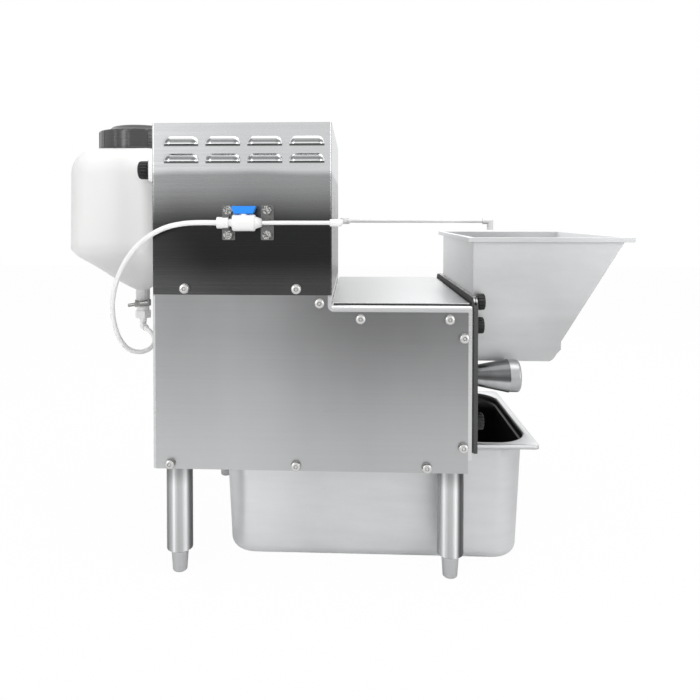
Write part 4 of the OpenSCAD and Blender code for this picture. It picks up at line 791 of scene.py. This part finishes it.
class MESH_OT_grinder_pan(MadePiece, bpy.types.Operator):
    """Deep drawn pan with a bent floor, a stacking step and a rolled rim"""
    bl_idname = "mesh.grinder_pan"
    bl_label = "Catch pan"

    # Step and rim above the wall, in mm outward from the wall's top and up from the brim
    brim = ((1.2, -13.2), (2.6, -12.2), (3, -11), (3, -5), (3.2, -2), (4.0, -0.6),
            (5.5, 0), (12, 0), (14, -0.4), (14.8, -1.4), (15, -3), (15, -6))

    def make(self):
        low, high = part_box("catch_pan")
        cx, cy = (low.x + high.x) / 2, (low.y + high.y) / 2
        rim, step, taper, step_drop = 12 * MM, 3 * MM, 8 * MM, 14 * MM
        foot_corner, corner_growth = 46 * MM, 6 * MM
        brim_corner, lip_corner, sheet = 55, 8, 0.9 * MM
        wall_x, wall_y = ((b - a) / 2 - rim - step for a, b in zip(low.xy, high.xy))
        foot_x, foot_y = wall_x - taper, wall_y - taper
        bend = sizes().pan_bend
        rings = []

        def ring(half_x, half_y, corner, z):
            rings.append(box_ring(cx, cy, half_x, half_y, corner, z, 13))

        for k in range(9):
            a = math.pi / 2 * k / 8
            inset = bend * (1 - math.sin(a))
            ring(foot_x - inset, foot_y - inset, foot_corner - inset,
                 bend * (1 - math.cos(a)))
        for k in range(1, 13):
            t = k / 12
            ring(foot_x + taper * t, foot_y + taper * t, foot_corner + corner_growth * t,
                 bend + (high.z - step_drop - bend) * t)
        for out, up in self.brim:
            corner = brim_corner - max(out - 5, 0) * (brim_corner - lip_corner) / 10
            ring(wall_x + out * MM, wall_y + out * MM, corner * MM, high.z + up * MM)
        bm = bmesh.new()
        ring_skin(bm, rings, open_top=True)
        paint = finish("satin pan", satin_sheet, tints().satin, 0.42, (cx, cy))
        pan = put("drawn_pan", bm, "pan", paint, 40)
        wall = pan.modifiers.new("wall", "SOLIDIFY")
        wall.thickness, wall.offset = sheet, -1
        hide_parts("catch_pan")


class MESH_OT_grinder_tank(MadePiece, bpy.types.Operator):
    """Blow-moulded tank with round shoulders, a sloping floor and ears"""
    bl_idname = "mesh.grinder_tank"
    bl_label = "Water tank"

    def make(self):
        low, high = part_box("water_tank")
        cx, hx, hy = (low.x + high.x) / 2, (high.x - low.x) / 2, 145 * MM
        shoulder, foot_corner, top = 45 * MM, 40 * MM, 684 * MM
        # Neck and outlet: place along X and radius
        neck, outlet = (-376 * MM, 68.5 * MM), (-373.5 * MM, 13.5 * MM)
        # Heights of the outlet's ends, the floor's ends, the wall's ends and the mouth
        spout, floor, side, lip = (396, 424), (428, 504), (512, 639), (690, 700, 717.7)

        def crown(x, y):
            qx, qy = abs(x - cx) - (hx - shoulder), abs(y) - (hy - shoulder)
            inside = shoulder - math.hypot(max(qx, 0), max(qy, 0)) - min(max(qx, qy), 0)
            if inside >= shoulder:
                return top
            e = shoulder - max(inside, 0)
            return top - shoulder + math.sqrt(max(shoulder ** 2 - e ** 2, 0))

        def round_to(place, r):
            """The wall's points drawn in to a circle."""
            turns = [math.atan2(y / hy, (x - place) / hx) for x, y, _ in wall]
            return [(place + r * math.cos(a), r * math.sin(a), 0) for a in turns]

        def between(a, b, t, z):
            return [(p[0] + (q[0] - p[0]) * t, p[1] + (q[1] - p[1]) * t, z * MM)
                    for p, q in zip(a, b)]

        wall = box_ring(cx, 0, hx, hy, shoulder, 0, 24)
        low_wall = box_ring(cx, 0, hx, hy, foot_corner, 0, 24)
        throat, mouth = round_to(*outlet), round_to(*neck)
        rings = [between(throat, throat, 0, z) for z in spout]
        for k in range(15):
            t = k / 14
            ease = t + 0.035 * math.sin(2 * math.pi * t) * (1 - t)
            soft = 6 * (max(0, t - 0.86) / 0.14) ** 2
            z = floor[0] + (floor[1] - floor[0]) * t + soft
            rings.append(between(throat, low_wall, ease, z))
        for k in range(1, 11):
            z = side[0] + (side[1] - side[0]) * k / 10
            rings.append(between(low_wall, wall, k / 10, z))
        for k in range(1, 19):
            s = 1 - math.cos(math.pi / 2 * k / 18)
            rings.append([(x, y, crown(x, y)) for x, y, _ in between(wall, mouth, s, 0)])
        rings += [between(mouth, mouth, 0, z) for z in lip]
        bm = bmesh.new()
        ring_skin(bm, rings)
        ear_size, ear_out, ear_height = (19.8 * MM, 84 * MM, 40 * MM), 136 * MM, 642 * MM
        for far in (-1, 1):
            ear = bmesh.ops.create_cube(bm, size=1)["verts"]
            bmesh.ops.scale(bm, verts=ear, vec=ear_size)
            bmesh.ops.translate(bm, verts=ear, vec=(high.x - 10 * MM, far * ear_out,
                                                    ear_height))
            edges = list({e for v in ear for e in v.link_edges})
            bmesh.ops.bevel(bm, geom=edges, offset=5 * MM, segments=4, affect="EDGES",
                            profile=0.5)
        tank = put("tank_shell", bm, "body",
                   finish("cloudy tank plastic", tank_plastic, tints().tank, 0.42), 50)
        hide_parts("water_tank")


class MESH_OT_grinder_cap(MadePiece, bpy.types.Operator):
    """Screw cap of the tank, with hollows round its skirt and a domed crown"""
    bl_idname = "mesh.grinder_cap"
    bl_label = "Tank cap"

    def make(self):
        low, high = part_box("tank_cap")
        cx = (low.x + high.x) / 2
        depth, base, peak = sizes().cap_rib, low.z, high.z
        reach, ribs, line_pitch = (high.x - low.x) / 2, 16, 6.5

        def hollows(a, _, z):
            """Hollows between narrow ribs, with faint lines round the skirt."""
            if z < base + 3 * MM or z > peak - 13 * MM:
                return 0.0
            off = (a * ribs / (2 * math.pi) + 0.35) % 1 - 0.5
            rib = math.exp(-(off * 29 / 1.5) ** 2)
            line = 0.25 * math.exp(-(((z - base) / MM - 6) % line_pitch - 3.2) ** 2 / 0.3)
            return depth * (1 - rib) * (0.8 + line)

        skirt = [(-7, 0), (0, 0), (0, 1.6), (-0.6, 2.6), (-3, 3.2)]
        skirt += [(-3, 4 + 0.9 * k) for k in range(31)]
        skirt += [(-3.6, 33), (-5, 34.2), (-9, 35.2), (-12, 35.6), (-13, 35.1),
                  (-14.5, 34.8), (-17, 36.2), (-19, 37.6)]
        crown = [(56, 38.3), (53, 41.5), (50, 43.6), (44, 45.0), (30, 46.3), (14, 46.9),
                 (1, 47.0)]
        points = [(reach + r * MM, base + z * MM) for r, z in skirt]
        points += [(r * MM, base + z * MM) for r, z in crown]
        bm = bmesh.new()
        ring_skin(bm, lathe_rings(points, 384, hollows), Matrix.Translation((cx, 0, 0)))
        cap = put("screw_cap", bm, "cap",
                  finish("glossy cap plastic", moulded_plastic, CAP, 0.22, 700, 0.00003, 0.2,
                         0.45), 45)
        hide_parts("tank_cap")


class MESH_OT_grinder_knobs(MadePiece, bpy.types.Operator):
    """Black fluted knobs of the plate, the hopper and the tank"""
    bl_idname = "mesh.grinder_knobs"
    bl_label = "Fluted knobs"

    rides = {"clamp_knob_1": "clamp_knob_a", "clamp_knob_2": "clamp_knob_b",
             "clamp_knob_3": "clamp_knob_c", "clamp_knob_4": "clamp_knob_d",
             "hopper_knob_near": "hopper_knob_a", "hopper_knob_far": "hopper_knob_b",
             "tank_knob_near": "tank_knob_a", "tank_knob_far": "tank_knob_b"}
    # Outline from the back to the dished front, in shares of the radius and the length
    outline = ((0.30, 0), (0.78, 0), (0.80, 0.05), (0.84, 0.13), (0.97, 0.17), (1.0, 0.22),
               (1.0, 0.80), (0.985, 0.88), (0.94, 0.95), (0.86, 0.99), (0.74, 1.0),
               (0.70, 0.99), (0.66, 0.94), (0.62, 0.92), (0.30, 0.93), (0.02, 0.94))

    def make(self):
        depth = sizes().knob_flute
        for node, body in self.rides.items():
            low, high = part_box(node)
            r, length = (high.z - low.z) / 2, high.x - low.x
            back = node.startswith("tank")
            y, z = (low.y + high.y) / 2, (low.z + high.z) / 2
            place = (Matrix.Translation((high.x if back else low.x, y, z))
                     @ Matrix.Rotation(math.radians(-90 if back else 90), 4, "Y"))
            count = 18 if back else 14

            def flutes(a, radius, _):
                if radius < 0.9 * r:
                    return 0.0
                return depth * (0.5 - 0.5 * math.cos(count * a)) ** 1.5

            profile = [(rr * r, hh * length) for rr, hh in self.outline]
            bm = bmesh.new()
            ring_skin(bm, lathe_rings(profile, count * 10, flutes), place)
            knob = put(node + "_grip", bm, body, black_paint(), 40)
            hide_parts(node)


class MESH_OT_grinder_bolts(MadePiece, bpy.types.Operator):
    """Hexagon bolts of the side panels and the housing"""
    bl_idname = "mesh.grinder_bolts"
    bl_label = "Bolts"

    def make(self):
        bm = cad_mesh("panel_bolts")
        left, places = set(bm.verts), []
        while left:
            grow, island = [left.pop()], []
            while grow:
                v = grow.pop()
                island.append(v.co.copy())
                near = {e.other_vert(v) for e in v.link_edges} & left
                left -= near
                grow += near
            x = (min(c.x for c in island) + max(c.x for c in island)) / 2
            z = (min(c.z for c in island) + max(c.z for c in island)) / 2
            places.append((x, z, 1 if island[0].y > 0 else -1))
        bm.free()
        # Each bolt was tightened to a turn of its own
        heads = [((x, side * BODY_SIDE, z), (0, side, 0), 0.7 * i)
                 for i, (x, z, side) in enumerate(sorted(places))]
        paint = finish("bolt zinc", zinc_plate, tints().zinc, 0.30, bolt_painted_light)
        piece = grown("panel_bolt_set", heads, bolt_tree(paint), "body", paint)
        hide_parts("panel_bolts")


class MESH_OT_grinder_hose(MadePiece, bpy.types.Operator):
    """Hose from the tank's outlet to the valve"""
    bl_idname = "mesh.grinder_hose"
    bl_label = "Hose"

    # Points of its middle line in mm, from the elbow to the valve
    route = [
        (-362.4, -19.2, 358), (-358, -28, 358), (-351, -41, 358), (-343, -54, 357),
        (-335, -67, 354), (-328, -80, 349), (-325, -94, 342), (-328, -108, 337),
        (-337, -119, 334), (-347, -128, 336), (-356, -137, 343), (-362, -146, 354),
        (-366, -155, 368), (-368, -164, 385), (-368, -173, 403), (-366, -181, 422),
        (-361, -189, 441), (-354, -197, 460), (-344, -205, 479), (-332, -213, 497),
        (-317, -221, 514), (-300, -228, 529), (-281, -234, 541), (-260, -238, 550),
        (-238, -240, 555), (-215, -240.5, 557), (-182.2, -240.5, 557)]

    def make(self):
        points = [Vector(p) * MM for p in self.route]
        path, steps = [], 6
        for i, (a, b) in enumerate(zip(points, points[1:])):
            before = points[i - 1] if i else a - (b - a)
            after = points[i + 2] if i + 2 < len(points) else b + (b - a)
            for k in range(steps):
                t = k / steps
                path.append(0.5 * ((2 * a) + (b - before) * t
                            + (2 * before - 5 * a + 4 * b - after) * t ** 2
                            + (3 * a - before - 3 * b + after) * t ** 3))
        path.append(points[-1])
        length = sum((b - a).length for a, b in zip(path, path[1:]))
        r, sides = sizes().hose / 2, 20
        bm = bmesh.new()
        rings, side = [], Vector((0, 0, 1))
        for i, p in enumerate(path):
            way = (path[min(i + 1, len(path) - 1)] - path[max(i - 1, 0)]).normalized()
            side = (side - way * side.dot(way)).normalized()
            other = way.cross(side)
            rings.append([p + r * (math.cos(2 * math.pi * k / sides) * side
                                   + math.sin(2 * math.pi * k / sides) * other)
                          for k in range(sides)])
        ring_skin(bm, rings)
        hose = put("supply_hose", bm, "body",
                   finish("hose plastic", hose_plastic, HOSE, 0.36), 60)
        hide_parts("water_hose")


class MESH_OT_grinder_water(MadePiece, bpy.types.Operator):
    """Outlet fittings, valve, brackets, pipe and drip arm"""
    bl_idname = "mesh.grinder_water"
    bl_label = "Water fittings"

    def make(self):
        white = finish("white fitting plastic", moulded_plastic, tints().white, 0.38, 900,
                       0.00003, 0.05)
        blue = finish("blue handle plastic", moulded_plastic, tints().blue, 0.30, 700,
                      0.00003, 0.05)
        bracket = finish("bracket zinc", zinc_plate, BRACKET, 0.28, bracket_painted_light)
        clamp = finish("clamp zinc", zinc_plate, CLAMP, 0.26)
        for name, node, edge in (
                ("outlet_nut", "outlet_fitting", 0.5), ("outlet_bend", "outlet_elbow", 0.4),
                ("valve_shell", "valve_body", 0.6), ("supply_pipe", "water_pipe", 0.4)):
            softened(name, node, "body", white, edge * MM)
        softened("drip_pipe", "drip_arm", "arm", white, 0.4 * MM)
        softened("valve_lever", "valve_handle", "handle", blue, 0.9 * MM)
        softened("bracket_pair", "valve_brackets", "body", bracket, 0.3 * MM)
        softened("clamp_band", "outlet_clamp", "body", clamp, 0.2 * MM)


class MESH_OT_grinder_legs(MadePiece, bpy.types.Operator):
    """Legs, feet and flared knobs"""
    bl_idname = "mesh.grinder_legs"
    bl_label = "Legs and flared knobs"

    def make(self):
        tube = finish("polished leg tube", brushed_sheet, tints().leg, 0.26, TUBE_BRUSH,
                      0.08, 0.04, tube_painted_light)
        toe = finish("satin foot", brushed_sheet, TOE, 0.38, (3, 3, 500))
        turned = finish("flared steel", flared_steel, tints().turned, 0.24)
        softened("leg_tubes", "legs", "body", tube, 0.5 * MM)
        for i, letter in enumerate("abcd", 1):
            softened(f"bullet_foot_{i}", f"foot_{i}", f"foot_{letter}", toe,
                     0.4 * MM)
        for side in ("near", "far"):
            softened(f"flared_knob_{side}", f"gap_knob_{side}", f"gap_screw_{side}",
                     turned, 0.5 * MM)


class MESH_OT_grinder_finishes(MadePiece, bpy.types.Operator):
    """Finishes of the nodes that keep their CAD shape"""
    bl_idname = "mesh.grinder_finishes"
    bl_label = "Finishes"

    def make(self):
        sheet = finish("brushed carcass sheet", brushed_sheet, tints().steel, 0.34,
                       LEVEL_BRUSH)
        zinc = finish("bright zinc", zinc_plate, tints().zinc, 0.30)
        iron = finish("machined iron", cast_metal, (0.23, 0.235, 0.24), 0.9, 0.42)
        green = finish("green casting paint", cast_metal, (0.03, 0.14, 0.09), 0.0, 0.4)
        grey = finish("grey motor paint", cast_metal, (0.13, 0.15, 0.17), 0.0, 0.42)
        shaft = finish("ground shaft", turned_metal, (0.55, 0.55, 0.56), 0.25)
        stone = finish("dressed stone", dressed_stone, (0.22, 0.21, 0.20))
        soft = finish("black rubber", rubber, (0.016, 0.016, 0.017))
        box = finish("switch box plastic", moulded_plastic, (0.10, 0.105, 0.11), 0.45)
        start, stop = (
            finish(name, moulded_plastic, tint, 0.3, 500, 0.00002, 0.05) for name, tint in (
                ("green button plastic", (0.02, 0.28, 0.06)),
                ("red button plastic", (0.5, 0.01, 0.01))))
        for paint, nodes in (
                (sheet, "motor_deck bearing_beams stone_carrier"),
                (satin_paint(), "grinding_chamber"),
                (soft, "cover_gasket plate_gasket drive_belts"),
                (grey, "motor_case fan_cowl"), (black_paint(), "motor_fan cable_gland"),
                (shaft, "motor_shaft main_shaft feed_screw"),
                (iron, "motor_pulley drive_pulley stone_driver"),
                (green, "shaft_bearings"), (stone, "running_stone fixed_stone"),
                (zinc, "weld_studs"), (box, "switch_box"), (start, "start_button"),
                (stop, "stop_button")):
            for node in nodes.split():
                for place in NODES[node].material_slots:
                    place.material = paint


OPERATORS = (
    MESH_OT_grinder_stage, MESH_OT_grinder_hose, MESH_OT_grinder_carcass,
    MESH_OT_grinder_hopper, MESH_OT_grinder_pan, MESH_OT_grinder_tank,
    MESH_OT_grinder_cap, MESH_OT_grinder_knobs, MESH_OT_grinder_bolts,
    MESH_OT_grinder_water, MESH_OT_grinder_legs, MESH_OT_grinder_finishes)


class VIEW3D_PT_grinder(bpy.types.Panel):
    """Sizes, colours and build steps of the corn grinder"""
    bl_label = "Corn Grinder"
    bl_space_type = "VIEW_3D"
    bl_region_type = "UI"
    bl_category = "Grinder"

    def draw(self, context):
        column = self.layout.column(align=True)
        for group in (context.scene.grinder_sizes, context.scene.grinder_colours):
            for name in group.__annotations__:
                column.prop(group, name)
        for operator in OPERATORS:
            column.operator(operator.bl_idname)


CLASSES = (GrinderSizes, GrinderColours, *OPERATORS, VIEW3D_PT_grinder)


def register():
    for cls in CLASSES:
        bpy.utils.register_class(cls)
    bpy.types.Scene.grinder_sizes = bpy.props.PointerProperty(type=GrinderSizes)
    bpy.types.Scene.grinder_colours = bpy.props.PointerProperty(type=GrinderColours)


def unregister():
    del bpy.types.Scene.grinder_colours
    del bpy.types.Scene.grinder_sizes
    for cls in reversed(CLASSES):
        bpy.utils.unregister_class(cls)


def main():
    register()
    for operator in OPERATORS:
        area, step = operator.bl_idname.split(".")
        getattr(getattr(bpy.ops, area), step)()


if __name__ == "__main__":
    main()
